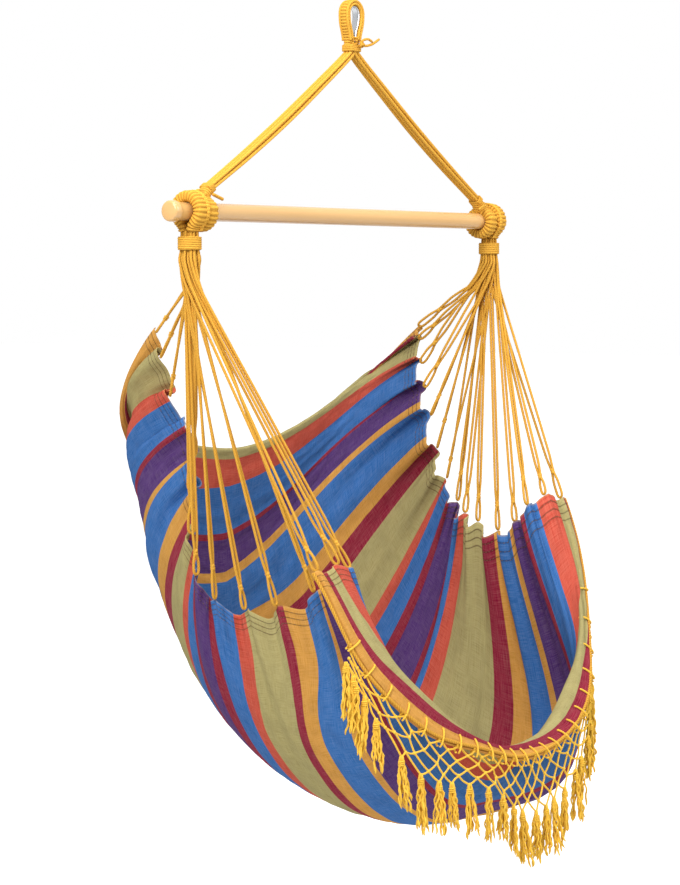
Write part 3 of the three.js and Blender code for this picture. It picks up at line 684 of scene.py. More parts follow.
def bead(sides=8, rows=6, bulge=0.0):
    """A closed round bead of size one, with a wound groove if it bulges."""
    vertices = [(0, 0, -0.5)]
    for i in range(1, rows):
        polar = math.pi * i / rows
        for j in range(sides):
            around = 2 * math.pi * j / sides
            reach = 0.5 * math.sin(polar) * (1 - bulge * (0.5 + 0.5 * math.cos(2 * around + 4 * polar)))
            vertices.append((reach * math.cos(around), reach * math.sin(around), -0.5 * math.cos(polar)))
    vertices.append((0, 0, 0.5))
    last = 1 + (rows - 2) * sides
    faces = []
    for j in range(sides):
        k = (j + 1) % sides
        faces.append((0, 1 + k, 1 + j))
        faces.append((last + j, last + k, len(vertices) - 1))
        for low in range(1, last, sides):
            faces.append((low + j, low + k, low + sides + k, low + sides + j))
    return vertices, faces


# Materials


class Shader:
    """A material's nodes, made one after another."""

    def __init__(self, name, roughness, metallic=0.0):
        self.material = bpy.data.materials.new(name)
        self.material.use_nodes = True
        self.tree = self.material.node_tree
        self.surface = self.tree.nodes["Principled BSDF"]
        self.surface.inputs["Roughness"].default_value = roughness
        self.surface.inputs["Metallic"].default_value = metallic

    def node(self, kind, inputs=None, **settings):
        return add_node(self.tree, kind, inputs, **settings)

    def place(self):
        return self.node("ShaderNodeTexCoord").outputs["Object"]

    def sum(self, operation, first, second=0.0, third=0.0):
        return self.node("ShaderNodeMath", {0: first, 1: second, 2: third}, operation=operation).outputs[0]

    def noise(self, vector, scale, detail=2.0, roughness=0.5):
        inputs = {"Vector": vector, "Scale": scale, "Detail": detail, "Roughness": roughness}
        return self.node("ShaderNodeTexNoise", inputs).outputs["Fac"]

    def stretched(self, vector, scale):
        inputs = {"Vector": vector, "Scale": scale}
        return self.node("ShaderNodeMapping", inputs).outputs["Vector"]

    def ranged(self, value, low, high):
        inputs = {"Value": value, "From Min": low, "From Max": high}
        return self.node("ShaderNodeMapRange", inputs).outputs[0]

    def mix(self, share, first, second):
        inputs = {0: share}
        for index, value in ((6, first), (7, second)):
            plain = not isinstance(value, bpy.types.NodeSocket)
            inputs[index] = (*value[:3], 1.0) if plain else value
        return self.node("ShaderNodeMix", inputs, data_type="RGBA").outputs[2]

    def tinted(self, body, share, strength, colour):
        return self.mix(self.sum("MULTIPLY", share, strength), body, colour)

    def paint(self, colour):
        self.tree.links.new(colour, self.surface.inputs["Base Color"])

    def bump(self, height, strength, distance):
        inputs = {"Height": height, "Strength": strength, "Distance": distance}
        made = self.node("ShaderNodeBump", inputs)
        self.tree.links.new(made.outputs["Normal"], self.surface.inputs["Normal"])


def cord_material(name, colour, groove):
    """Twisted cotton: painted shade darkens its grooves, with fine fibres across the lay."""
    made = Shader(name, 0.85)
    made.surface.inputs["Specular IOR Level"].default_value = 0.15
    place = made.place()
    # The groove attribute is a painted shade share: where it is high, the colour turns to the groove
    # colour.
    depth = made.node("ShaderNodeAttribute", attribute_name="groove").outputs["Fac"]
    fibres = made.noise(place, 2400.0, 3.0, 0.6)
    tone = made.noise(place, 60.0, 2.0, 0.5)
    # dark adds the fibres' random tone to the painted groove shade.
    dark = made.sum("MULTIPLY_ADD", fibres, 0.2, made.sum("MULTIPLY", depth, 0.9))
    body = made.mix(made.ranged(dark, 0.05, 1.0), colour, groove)
    made.paint(made.tinted(body, tone, 0.16, [min(1, c * 1.25) for c in colour]))
    made.bump(fibres, 0.5, 0.0004)
    return made.material


# The cloth's yarns, each beside the next, and its woven edge, in metres.
YARN_PITCH = 0.0017
SELVEDGE_WIDTH = 0.0014


def cloth_material(settings):
    """Plain-woven stripes: the colour follows the cloth's own width, the yarns its own length."""
    made = Shader("striped_cloth", 0.86)
    made.surface.inputs["Specular IOR Level"].default_value = 0.1
    flat = made.node("ShaderNodeUVMap", uv_map="surface").outputs["UV"]
    apart = made.node("ShaderNodeSeparateXYZ", {"Vector": flat}).outputs
    waver = made.noise(made.stretched(flat, (25.0, 2.0, 1.0)), 1.0, 2.0)
    edge = made.sum("MULTIPLY_ADD", waver, 0.0016, apart["Y"])
    ramp = made.node("ShaderNodeValToRGB", {"Fac": made.sum("DIVIDE", edge, settings.length)})
    band = ramp.color_ramp
    band.interpolation = "CONSTANT"
    start = 0
    for index, (colour, width) in enumerate(STRIPES):
        place = start / STRIPES_ACROSS
        stop = band.elements[index] if index < 2 else band.elements.new(place)
        stop.position = place
        stop.color = (*getattr(settings, colour), 1.0)
        start += width
    warp = made.noise(made.stretched(flat, (30.0, 1500.0, 1.0)), 1.0, 2.0, 0.65)
    weft = made.noise(made.stretched(flat, (1500.0, 40.0, 1.0)), 1.0, 2.0, 0.65)
    cloudy = made.noise(flat, 28.0, 3.0, 0.55)
    yarns = made.sum("MULTIPLY_ADD", warp, 0.5, made.sum("MULTIPLY", weft, 0.5))
    pale = made.ranged(yarns, 0.42, 0.64)
    body = made.tinted(ramp.outputs["Color"], pale, 0.1, linear(0.93, 0.88, 0.76))
    dusk = made.ranged(yarns, 0.5, 0.36)
    body = made.tinted(body, dusk, 0.3, linear(0.12, 0.06, 0.08))
    worn = made.sum("SUBTRACT", 0.56, cloudy)
    body = made.tinted(body, worn, 0.5, linear(0.1, 0.07, 0.1))
    from_hem = made.sum("SUBTRACT", settings.width / 2,
                        made.sum("ABSOLUTE", made.sum("SUBTRACT", apart["X"], settings.width / 2)))
    selvedge = made.sum("LESS_THAN", from_hem, SELVEDGE_WIDTH)
    body = made.tinted(body, selvedge, 0.2, linear(0.86, 0.74, 0.45))
    # Painted shade: dark lines along the stitch rows, where the cloth sinks under its stitches.
    turn = 2 * math.pi / (settings.hem * STITCH_ROW_GAP)
    start = settings.hem * STITCH_ROW_START
    wave = made.sum("COSINE", made.sum("MULTIPLY", made.sum("SUBTRACT", from_hem, start), turn))
    stitch_row_shade = made.sum("POWER", made.sum("MAXIMUM", wave, 0.0), 5.0)
    stitch_row_shade = made.sum("MULTIPLY", stitch_row_shade, made.sum("LESS_THAN", from_hem, settings.hem * 1.05))
    made.paint(made.tinted(body, stitch_row_shade, 0.55, linear(0.16, 0.08, 0.08)))
    thread = 2 * math.pi / YARN_PITCH
    rows = made.sum("SINE", made.sum("MULTIPLY", apart["X"], thread))
    columns = made.sum("SINE", made.sum("MULTIPLY", apart["Y"], thread))
    weave = made.sum("MULTIPLY_ADD", rows, columns, made.sum("MULTIPLY", yarns, 3.0))
    made.bump(weave, 0.35, 0.0005)
    return made.material


def wood_material(colour):
    """Clear-varnished pale wood with fine grain along the bar and rings at its ends."""
    made = Shader("varnished_wood", 0.32)
    made.surface.inputs["Coat Weight"].default_value = 0.35
    made.surface.inputs["Coat Roughness"].default_value = 0.15
    place = made.place()
    inputs = {"Vector": place, "Location": (0.0, -0.018, 0.012), "Scale": (0.05, 1.0, 1.0)}
    heart = made.node("ShaderNodeMapping", inputs).outputs["Vector"]
    inputs = {"Vector": heart, "Scale": 230.0, "Distortion": 3.5, "Detail": 2.0, "Detail Scale": 1.2}
    rings = made.node("ShaderNodeTexWave", inputs, wave_type="RINGS", rings_direction="X").outputs["Fac"]
    grain = made.noise(made.stretched(place, (6.0, 700.0, 700.0)), 1.0, 3.0, 0.6)
    long_tone = made.noise(made.stretched(place, (2.5, 40.0, 40.0)), 1.0, 2.0, 0.5)
    body = made.tinted(colour, rings, 0.32, linear(0.74, 0.52, 0.27))
    body = made.tinted(body, grain, 0.22, linear(0.62, 0.4, 0.2))
    made.paint(made.tinted(body, long_tone, 0.3, linear(0.97, 0.85, 0.62)))
    made.bump(grain, 0.12, 0.0002)
    return made.material


def steel_material():
    """Bright zinc-plated steel with faint scuffs."""
    made = Shader("plated_steel", 0.3, 1.0)
    scuffs = made.noise(made.stretched(made.place(), (180.0, 900.0, 180.0)), 1.0, 4.0, 0.6)
    made.paint(made.mix(scuffs, linear(0.62, 0.63, 0.65), linear(0.86, 0.87, 0.88)))
    made.bump(scuffs, 0.1, 0.0001)
    return made.material


def stitch_material():
    """Sewing thread in the hems."""
    made = Shader("hem_thread", 0.75)
    tone = made.noise(made.place(), 900.0, 2.0)
    made.paint(made.mix(tone, linear(0.3, 0.2, 0.12), linear(0.55, 0.42, 0.25)))
    made.bump(tone, 0.3, 0.0002)
    return made.material


MATERIALS = {}


def material(name):
    """One of the chair's materials, made when it is first asked for."""
    scene = bpy.context.scene
    rope = scene.hammock_rope
    makers = {
        "cord": lambda: cord_material("twisted_cord", tuple(rope.cord), tuple(rope.groove)),
        "fringe": lambda: cord_material("fringe_cord", tuple(rope.fringe), tuple(rope.fringe_groove_shade)),
        "cloth": lambda: cloth_material(scene.hammock_cloth),
        "wood": lambda: wood_material(tuple(scene.hammock_stage.wood)),
        "steel": steel_material,
        "thread": stitch_material,
    }
    if name not in MATERIALS:
        MATERIALS[name] = makers[name]()
    return MATERIALS[name]


# The eye at the top

# Steps in each third of a teardrop outline.
TEARDROP_STEPS = 24


def teardrop(radius, centre, tip_half, tip):
    """A teardrop outline as (sideways, upward) pairs in metres, round top first."""
    count = TEARDROP_STEPS
    points = []
    for k in range(count + 1):
        angle = math.pi * k / count
        points.append((radius * math.cos(angle), centre + radius * math.sin(angle)))
    bend = (centre + tip) / 2
    for k in range(1, count + 1):
        t = k / count
        a, b, c, d = (1 - t) ** 3, 3 * t * (1 - t) ** 2, 3 * t * t * (1 - t), t**3
        points.append((-(a + b) * radius - (c + d) * tip_half, a * centre + (b + c) * bend + d * tip))
    for k in range(count, 0, -1):
        x, z = points[count + k]
        points.append((-x, z))
    return np.array(points) * MM


def eye_line(margin):
    """The line round the thimble's opening at a margin outside it, in the frame's X-Z plane."""
    radius = THIMBLE_OPENING_WIDTH / 2
    outline = teardrop(radius + margin, -radius, THIMBLE_WALL + margin, -THIMBLE_OPENING_HEIGHT - margin)
    return np.stack((outline[:, 0], np.zeros(len(outline)), outline[:, 1]), 1)


# The thimble's section: how far outside its opening and how far aside each corner is, in millimetres.
THIMBLE_SECTION = (
    (0.2, 7.0), (0.0, 4.5), (0.0, 0.0), (0.0, -4.5), (0.2, -7.0), (1.2, -7.5), (1.9, -7.0), (1.7, -4.5),
    (1.5, 0.0), (1.7, 4.5), (1.9, 7.0), (1.2, 7.5),
)
THIMBLE_STEP = 0.0012


def build_thimble():
    """A steel thimble: a strip rolled to a groove, open to the rope that lies in it."""
    line = eye_line(0)
    line = spaced(np.concatenate((line, line[:1])), THIMBLE_STEP)[0][:-1]
    ahead = unit(np.roll(line, -1, 0) - np.roll(line, 1, 0))
    outward = np.stack((ahead[:, 2], np.zeros(len(line)), -ahead[:, 0]), 1)
    section = [line + outward * out * MM + np.array((0, side * MM, 0)) for out, side in THIMBLE_SECTION]
    vertices = np.stack(section, 1).reshape(-1, 3)
    obj = make_object("steel_thimble", vertices, skin(len(line), len(THIMBLE_SECTION), closed=True))
    face_outwards(obj)
    return dress(obj, "steel", "steel", "suspension", "hanging_thimble")


# Thickness of the twine wound round the eye's rope, in metres.
EYE_TWINE = 0.0052


def build_eye():
    """The rope eye round the thimble: wound with twine, with two cords laid round each face."""
    middle = THIMBLE_WALL + TOUCH_GAP + EYE_ROPE_THICKNESS / 2
    thick = EYE_ROPE_THICKNESS * MM
    wide = EYE_ROPE_WIDTH * MM
    core = wide - 5 * MM
    parts = Parts()
    wrapped_band(parts, eye_line(middle), (core, core), (thick, thick), EYE_TWINE, start=(0, 1, 0),
                 square=0.7)
    bottom = -(THIMBLE_OPENING_HEIGHT + THIMBLE_WALL) * MM
    for face in (-1, 1):
        for reach in (-2.6, 2.6):
            laid = eye_line(middle + reach)
            laid = laid[laid[:, 2] > bottom]
            start = int(np.argmax(np.linalg.norm(laid - np.roll(laid, 1, 0), axis=1)))
            laid = np.roll(laid, -start, 0) + np.array((0, face * (core / 2 + 0.4 * MM), 0))
            twisted_cord(parts, laid, 0.0026, 0.02, 10, depth=0.08, step=0.003)
    neck_low = bottom - EYE_NECK_LENGTH * MM
    for share in (-1, 1):
        x = share * EYE_NECK_WIDTH / 4.4 * MM
        wrapped_band(parts, [(x, 0, bottom + 8 * MM), (x, 0, neck_low + 0.2 * MM)], (wide, wide * 0.9),
                     (thick * 0.85, thick * 0.8), EYE_TWINE, closed=False, start=(0, 1, 0))
    return parts.dress("rope_eye", "suspension", "hanging_eye", outwards=True)


EYE_BAND_TOP = THIMBLE_OPENING_HEIGHT + THIMBLE_WALL + EYE_NECK_LENGTH + TOUCH_GAP
EYE_BAND_BOTTOM = EYE_BAND_TOP + EYE_WHIPPING_HEIGHT
BRIDLE_PITCH = BRIDLE_THICKNESS + TOUCH_GAP
BRIDLE_COLUMNS = BRIDLE_CORDS_PER_SIDE // BRIDLE_ROWS
BRIDLE_HALF_ROWS = BRIDLE_ROWS * BRIDLE_PITCH / 2
BRIDLE_HALF_COLUMNS = BRIDLE_COLUMNS * BRIDLE_PITCH / 2
BRIDLE_SPREAD = CLEW_SPREAD - CLEW_LOOP_WIDTH / 2 - TOUCH_GAP - BRIDLE_LOOP_WIDTH / 2


def build_eye_band():
    """The whipping under the eye, and the tie knot at its side with two cut tails."""
    outline = rounded_outline(2 * BRIDLE_HALF_COLUMNS + TOUCH_GAP, BRIDLE_HALF_ROWS + TOUCH_GAP,
                              (1, 0, 0), (0, 1, 0))
    build_whipping("eye_band", "eye_whipping", "suspension", outline, np.array((0, 0, -EYE_BAND_BOTTOM)),
                   UPWARD, EYE_WHIPPING_HEIGHT, EYE_WHIPPING_WALL, EYE_WHIPPING_TWINE)
    parts = Parts()
    face = BRIDLE_HALF_ROWS + TOUCH_GAP + EYE_WHIPPING_WALL + TOUCH_GAP
    centre = np.array((BRIDLE_HALF_COLUMNS, -face - 6, -EYE_BAND_TOP))
    angle = around_circle(16, extra=1)
    for turn in (-1, 0, 1):
        lean = 0.7 * turn
        ring = np.stack((3.6 * np.cos(angle), 3.3 * np.sin(angle) * math.cos(lean),
                         3.6 * np.sin(angle) * math.sin(lean) + 1.6 * turn), 1)
        twisted_cord(parts, (centre + ring) * MM, 0.0023, 0.009, 8)
    for tail in (((6, -3, -2), (20, -7, 2), (38, -9, 12)), ((-1, -2, 7), (9, -6, 10), (20, -7, 6))):
        line = centre + np.array(((0, 0, 0), *tail))
        twisted_cord(parts, line * MM, 0.0024, 0.011, 8, ends=((0, 0.9, 1), (1, 1, 0.85)))
    parts.dress("eye_knot", "suspension", "eye_tie_knot")


# The bridle

# The length of a bridle cord's lay, in metres.
BRIDLE_LAY = 0.03


def bridle_line(sign):
    """Where one side of the bridle starts and ends, the way it rises and the way over it."""
    top = np.array((sign * BRIDLE_HALF_COLUMNS, 0, -EYE_BAND_BOTTOM))
    edge = np.array((sign * (BRIDLE_SPREAD - BRIDLE_LOOP_WIDTH / 2), 0,
                     -BAR_DROP + BRIDLE_LOOP_RISE - ROPE_ROUNDING))
    rise = unit(top - edge)
    over = np.array((-rise[2] * np.sign(rise[0]), 0, abs(rise[0])))
    return top, edge + rise * TOUCH_GAP, rise, over


def bridle_route(top, foot, rise, over, sign, row, column):
    """One bridle cord's line in metres, from the eye's band to the lower band."""
    bend = math.acos(rise[2])
    from_middle = column - (BRIDLE_COLUMNS - 1) / 2
    inward = -from_middle * BRIDLE_PITCH
    outward = sign * from_middle * BRIDLE_PITCH
    start = top + np.array((outward, row * BRIDLE_PITCH, -3 - inward * math.tan(bend / 2)))
    end = foot - over * inward
    end[1] = row * BRIDLE_PITCH
    band_end = end + rise * BRIDLE_WHIPPING_HEIGHT
    route = [np.array((start[0], start[1], -EYE_BAND_TOP - TOUCH_GAP)), start]
    for step in range(1, 4):
        share = step / 4
        point = start + (band_end - start) * share
        point[2] -= BRIDLE_SAG * math.sin(math.pi * share)
        apart = math.sin(math.pi * share) * 1.2
        point += over * from_middle * apart * 2
        point[1] += row * apart
        route.append(point)
    route += [band_end, end]
    return np.array(route) * MM


def across_bar(outline, place):
    """An outline of (sideways, upward) pairs stood up across the bar at a place."""
    return np.column_stack((np.zeros(len(outline)), outline)) + place


def build_bridle(rope, side, sign):
    """Six twisted cords, their lower band and the loop that the bar rests in."""
    top, foot, rise, over = bridle_line(sign)
    parts = Parts()
    nodes = []
    for cord in range(BRIDLE_CORDS_PER_SIDE):
        row = cord % BRIDLE_ROWS - (BRIDLE_ROWS - 1) / 2
        column = cord // BRIDLE_ROWS
        route = bridle_route(top, foot, rise, over, sign, row, column)
        twisted_cord(parts, route, rope.bridle / 2, BRIDLE_LAY, 12, depth=0.05)
        nodes.append(f"bridle_cord_{side}_{cord + 1}")
    parts.dress(f"bridle_{side}", "suspension", *nodes)

    outline = rounded_outline(BRIDLE_HALF_ROWS + TOUCH_GAP, BRIDLE_HALF_COLUMNS + TOUCH_GAP,
                              np.cross(over, rise), over)
    build_whipping(f"bridle_band_{side}", f"bridle_whipping_{side}", "suspension", outline, foot, rise,
                   BRIDLE_WHIPPING_HEIGHT, BRIDLE_WHIPPING_WALL, BRIDLE_WHIPPING_TWINE)

    half = BRIDLE_LOOP_THICKNESS / 2
    line = teardrop(BAR_RADIUS + TOUCH_GAP + half, 0, BRIDLE_HALF_ROWS * 0.35, half - BRIDLE_LOOP_RISE)
    place = np.array((sign * BRIDLE_SPREAD, 0, -BAR_DROP)) * MM
    parts = Parts()
    wrapped_band(parts, across_bar(-line, place), (BRIDLE_LOOP_WIDTH * MM,) * 2,
                 (BRIDLE_LOOP_THICKNESS * MM,) * 2, rope.twine, square=0.62)
    crown = place + np.array((-sign * 5, 0, BRIDLE_LOOP_RISE - 12)) * MM
    collar = foot * MM + rise * 7 * MM
    wrapped_band(parts, np.array((crown, (crown + collar) / 2, collar)), (0.026, 0.022), (0.022, 0.017),
                 0.0045, closed=False, start=(0, 1, 0), sink=0.35)
    tie = place + np.array((-sign * 13, -16, 29)) * MM
    way = np.array((-sign * 1.0, -0.1, -0.35))
    twisted_cord(parts, np.array((tie, tie + way * 0.012, tie + way * 0.022)), 0.003, 0.012, 9)
    parts.dress(f"bar_sling_{side}", "suspension", f"bridle_loop_{side}", outwards=True)


# The bar

# Half the bar's length, and its end from the tip inwards: how far in, and the radius, in millimetres.
BAR_HALF = 480
BAR_END = (
    (0.0, 13.4), (0.5, 14.9), (1.6, 16.3), (3.2, 17.2), (5, 17.5), (14, 17.5), (16, 17.2), (18, 15.6),
    (19.5, BAR_RADIUS),
)
BAR_SIDES = 64


def build_bar():
    """The round wooden bar: thicker at both ends, with softened edges."""
    end = [(inward - BAR_HALF, radius) for inward, radius in BAR_END]
    profile = np.array(end + [(-x, radius) for x, radius in reversed(end)])
    rows = len(profile)
    line = np.stack((profile[:, 0] + BAR_SHIFT, np.zeros(rows), np.full(rows, -BAR_DROP)), 1)
    around = around_circle(BAR_SIDES)
    reach = profile[:, 1:]
    forward = np.tile((0.0, 1.0, 0.0), (rows, 1))
    upward = np.tile(UPWARD, (rows, 1))
    vertices = swept(line, forward, upward, reach * np.cos(around), reach * np.sin(around)) * MM
    obj = make_object("wooden_bar", vertices, skin(rows, BAR_SIDES))
    face_outwards(obj)
    return dress(obj, "wood", "wood", "bar", "spreader_bar")


# Clews and nettles

NETTLE_PITCH = NETTLE_THICKNESS + NETTLE_GAP
CLEW_RADIUS = math.sqrt(7) * NETTLE_PITCH + NETTLE_THICKNESS / 2 + TOUCH_GAP
CLEW_NECK = -BAR_DROP - CLEW_LOOP_DROP
CLEW_BAND_BOTTOM = CLEW_NECK - CLEW_CORDS_SHOWN - CLEW_WHIPPING_HEIGHT

# The size of one hitch on a clew loop's rim, in metres.
HITCH_SIZE = (0.0052, 0.005, 0.0078)


def build_clew(rope, side, sign):
    """The wound loop that hangs on the bar, with its line of hitches, and the band under it."""
    bore = BAR_RADIUS + TOUCH_GAP
    half = CLEW_LOOP_THICKNESS / 2
    place = np.array((sign * CLEW_SPREAD, 0, -BAR_DROP)) * MM
    line = np.roll(teardrop(bore + half, 0, 8.6, 3 - CLEW_LOOP_DROP), TEARDROP_STEPS, 0)
    thick = np.array((0.78, 0.95, 1, 1, 1, 1, 1, 0.95, 0.78)) * CLEW_LOOP_THICKNESS * MM
    parts = Parts()
    wrapped_band(parts, across_bar(line, place), (CLEW_LOOP_WIDTH * MM,) * 2, thick, rope.twine,
                 closed=False, square=0.62)
    parts.dress(f"clew_loop_wound_{side}", "seat", f"clew_loop_{side}", outwards=True)

    rim = np.roll(teardrop(bore + half * 1.86, 0, 16, -CLEW_LOOP_DROP - 2), TEARDROP_STEPS, 0)[4:-4]
    hitches = []
    for spot in spaced(across_bar(rim, place), rope.twine * 0.9)[0]:
        angle = math.atan2(spot[2] + BAR_DROP * MM, spot[1])
        for aside, slope in ((3.6, 0.6), (6.8, -0.6)):
            outside = np.array((-sign * (CLEW_LOOP_WIDTH / 2 - aside) * MM, 0, 0))
            hitches.append((spot + outside, (angle, 0, slope * sign), HITCH_SIZE))
    scatter(f"clew_hitches_{side}", hitches, bead(8, 6, 0.25), "cord", "rope", "seat")

    around = around_circle(48)
    outline = np.stack((np.cos(around), np.sin(around), np.zeros(48)), 1) * CLEW_RADIUS
    base = np.array((sign * CLEW_SPREAD, 0, CLEW_BAND_BOTTOM))
    build_whipping(f"clew_band_{side}", f"clew_whipping_{side}", "seat", outline, base, UPWARD,
                   CLEW_WHIPPING_HEIGHT, CLEW_WHIPPING_WALL, CLEW_WHIPPING_TWINE)


def hem_place(sign, nettle):
    """Where a nettle meets the hem: the point, the hem's direction and the cloth's outward one."""
    u = (1 + sign) / 2
    inset = NETTLE_EDGE_INSET / CLOTH_LENGTH
    v = inset + (1 - 2 * inset) * nettle / (NETTLES_PER_SIDE - 1)
    point = cloth_surface(u, v) / MM
    return point, unit(cloth_way(u, v, 0, inset / 2)), cloth_outward(u, v)


def bundle_places(sign):
    """Places of the nettles' cords in their bundle, rows from back to front."""
    cords = []
    for nettle in range(NETTLES_PER_SIDE):
        point = hem_place(sign, nettle)[0]
        lean = (sign * point[0] - CLEW_SPREAD) / (CLEW_BAND_BOTTOM - point[2])
        cords += [(lean, nettle), (lean, nettle)]
    places = [[] for nettle in range(NETTLES_PER_SIDE)]
    first = 0
    row_pitch = NETTLE_PITCH * math.sqrt(3) / 2
    for row, count in enumerate(BUNDLE_ROWS):
        taken = sorted(cords[first : first + count], key=lambda cord: cord[0])
        first += count
        for index, (lean, nettle) in enumerate(taken):
            x = -sign * ((len(BUNDLE_ROWS) - 1) / 2 - row) * row_pitch
            places[nettle].append(np.array((x, (index - (count - 1) / 2) * NETTLE_PITCH)))
    return places


def bundled_strand(sign, place, way):
    """One strand inside its bundle and under its band, in millimetres: way is where it leads to."""
    x = sign * CLEW_SPREAD
    strand = []
    for wide, z in ((0.9, CLEW_NECK + 4), (1.0, CLEW_BAND_BOTTOM), (1.18, CLEW_BAND_BOTTOM - 18)):
        strand.append(np.array((x + place[0] * wide, place[1] * wide, z)))
    low = strand[-1]
    share = 42 / (low[2] - way[2])
    drift = (way - low) * np.array((share * 0.6, share * 0.6, share))
    return strand + [low + drift]


# How far above the hem a nettle's knot is tied, and half the open eye under it, in millimetres.
KNOT_RISE = 46
EYE_HALF = 5.6

# The size of each half of that knot and the length of a nettle's lay, in metres.
KNOT_SIZE = (0.0112, 0.0092, 0.0076)
NETTLE_LAY = 0.0135


def nettle_line(sign, nettle, places):
    """A nettle's line: down to its knot, an open eye, round the hem and back up."""
    point, along, outward = hem_place(sign, nettle)
    down = bundled_strand(sign, places[0], point)
    back = bundled_strand(sign, places[1], point)
    up = unit((down[-1] + back[-1]) / 2 - point)
    side = np.cross(up, along)
    rise_per_length = np.linalg.norm(side)
    side = unit(side)
    if side @ (back[-1] - down[-1]) < 0:
        side = -side
    seat = point + up * (NETTLE_THICKNESS / 2 + TOUCH_GAP + 1.5 * abs(outward @ up)) / rise_per_length
    knot_rise = KNOT_RISE + 9 * math.sin(2.7 * nettle + sign)
    strand = ((4.6, knot_rise + 34), (2.1, knot_rise + 4), (2.2, knot_rise - 4),
              (EYE_HALF * 0.9, knot_rise * 0.62), (EYE_HALF, 9), (EYE_HALF * 0.7, 2.4))
    there = [seat - side * sideways + up * rise for sideways, rise in strand]
    again = [seat + side * sideways + up * rise for sideways, rise in reversed(strand)]
    route = down + [(down[-1] + there[0]) / 2] + there + [seat]
    route += again + [(again[-1] + back[-1]) / 2] + back[::-1]
    return np.array(route) * MM, (seat + up * knot_rise) * MM, up


def build_nettles(rope, side, sign):
    """Fifteen doubled cords with a small knot above each eye."""
    places = bundle_places(sign)
    parts = Parts()
    nodes = []
    knots = []
    for nettle in range(NETTLES_PER_SIDE):
        route, knot, up = nettle_line(sign, nettle, places[nettle])
        twisted_cord(parts, route, rope.nettle / 2, NETTLE_LAY, 10, step=0.0026, depth=0.14)
        nodes.append(f"nettle_{side}_{nettle + 1:02d}")
        turn = Vector(up).to_track_quat("Z", "Y").to_euler()
        for lift in (-2.6, 2.2):
            turned = (turn.x, turn.y, turn.z + lift)
            knots.append((knot + up * lift * MM, turned, KNOT_SIZE))
    parts.dress(f"nettles_{side}", "seat", *nodes)
    scatter(f"nettle_knots_{side}", knots, bead(10, 8, 0.3), "cord", "rope", "seat")


# The cloth

# Folds that hang from the side hems: on which hem, where from back to front as a share, how deep in
# millimetres, half as wide as this share of the cloth's length, and how far in they reach in metres.
FOLDS = (
    (-1, 0.567, 5.0, 0.010, 0.16), (-1, 0.69, -3.5, 0.012, 0.30), (-1, 0.635, 4.0, 0.016, 0.22),
    (-1, 0.79, 6.0, 0.010, 0.20), (-1, 0.12, 6.0, 0.012, 0.30), (-1, 0.19, -5.0, 0.014, 0.25),
    (-1, 0.33, 5.0, 0.014, 0.30), (1, 0.541, 9.0, 0.011, 0.50), (1, 0.64, 3.0, 0.016, 0.40),
    (1, 0.735, 8.0, 0.009, 0.42), (1, 0.757, -6.0, 0.008, 0.36), (1, 0.69, 5.0, 0.010, 0.25),
    (1, 0.16, 6.0, 0.013, 0.35), (1, 0.30, 6.0, 0.012, 0.30), (1, 0.43, 5.0, 0.012, 0.35),
    (1, 0.87, 4.0, 0.012, 0.25),
)

# The gathers, in metres: how far in from a side hem the short and the long ones reach, how high both
# are, and how high the broad, the narrow and the fine creases are that run all over the cloth.
GATHER_REACH = 0.06
LONG_GATHER_REACH = 0.26
GATHER_HEIGHT = 0.0038
LONG_GATHER_HEIGHT = 0.0058
BROAD_CREASES = 0.0040
NARROW_CREASES = 0.0014
FINE_CREASES = 0.0007

# The edges, in metres: how far a doubled side hem stands out, its stitches sink and the cloth beside
# them puckers, how high the back edge's fold and waves are, and how wide the smooth front band is.
HEM_RISE = 0.0009
STITCH_SINK = 0.0010
PUCKER_HEIGHT = 0.0011
BACK_FOLD = 0.0012
BACK_WAVES = 0.0022
FRONT_BAND = 0.045


def cloth_sculpt(u, v, settings):
    """How far the cloth stands off its mean surface, outwards in metres: gathers, folds and hems."""
    u, v = np.broadcast_arrays(np.asarray(u, float), np.asarray(v, float))
    across = u * settings.width
    from_hem = np.minimum(across, settings.width - across)
    from_back = v * settings.length
    in_body = 1 / (1 + np.exp((FRONT_BAND - (1 - v) * settings.length) / 0.006))
    side = np.where(u < 0.5, 11, 29)
    gather = np.exp(-from_hem / GATHER_REACH)
    phase = v * (NETTLES_PER_SIDE - 1) * 2 * np.pi
    ripple = np.sin(3 * phase + 1.8 * smooth_noise(v * 40, side * 1.0, 5))
    height = GATHER_HEIGHT * gather * ripple * (0.6 + 0.5 * smooth_noise(v * 23, side * 2.0, 8))
    long_gather = np.exp(-from_hem / LONG_GATHER_REACH)
    along = v * 50 + 0.6 * smooth_noise(u * 5, v * 9, 3)
    height += LONG_GATHER_HEIGHT * long_gather * smooth_noise(along, u * 2.0, 21)
    along = v * 26 + 0.8 * smooth_noise(u * 4, v * 6, 13)
    height += BROAD_CREASES * smooth_noise(along, u * 1.7 + 40, 31)
    height += NARROW_CREASES * smooth_noise(v * 110, u * 7, 41)
    height += FINE_CREASES * smooth_noise(v * 210, u * 34, 43)
    for sign, place, depth, wide, reach in FOLDS:
        near = np.where(u < 0.5, -1, 1) == sign
        height = height - near * depth * MM * beside(v - place, wide) * beside(from_hem, reach)
    height *= in_body
    pucker = beside(from_hem - settings.hem * 0.6, 0.011)
    height += PUCKER_HEIGHT * pucker * smooth_noise(v * 260, u * 60, 47)
    in_hem = 1 / (1 + np.exp((from_hem - settings.hem) / 0.0012))
    height += HEM_RISE * in_hem
    for row in range(STITCH_ROWS):
        line = settings.hem * (STITCH_ROW_START + STITCH_ROW_GAP * row)
        height -= STITCH_SINK * beside(from_hem - line, 0.0018)
    height += BACK_FOLD * beside(from_back - 0.008, 0.006)
    height += BACK_WAVES * np.exp(-from_back / 0.03) * smooth_noise(u * 46, v * 3, 53)
    return height


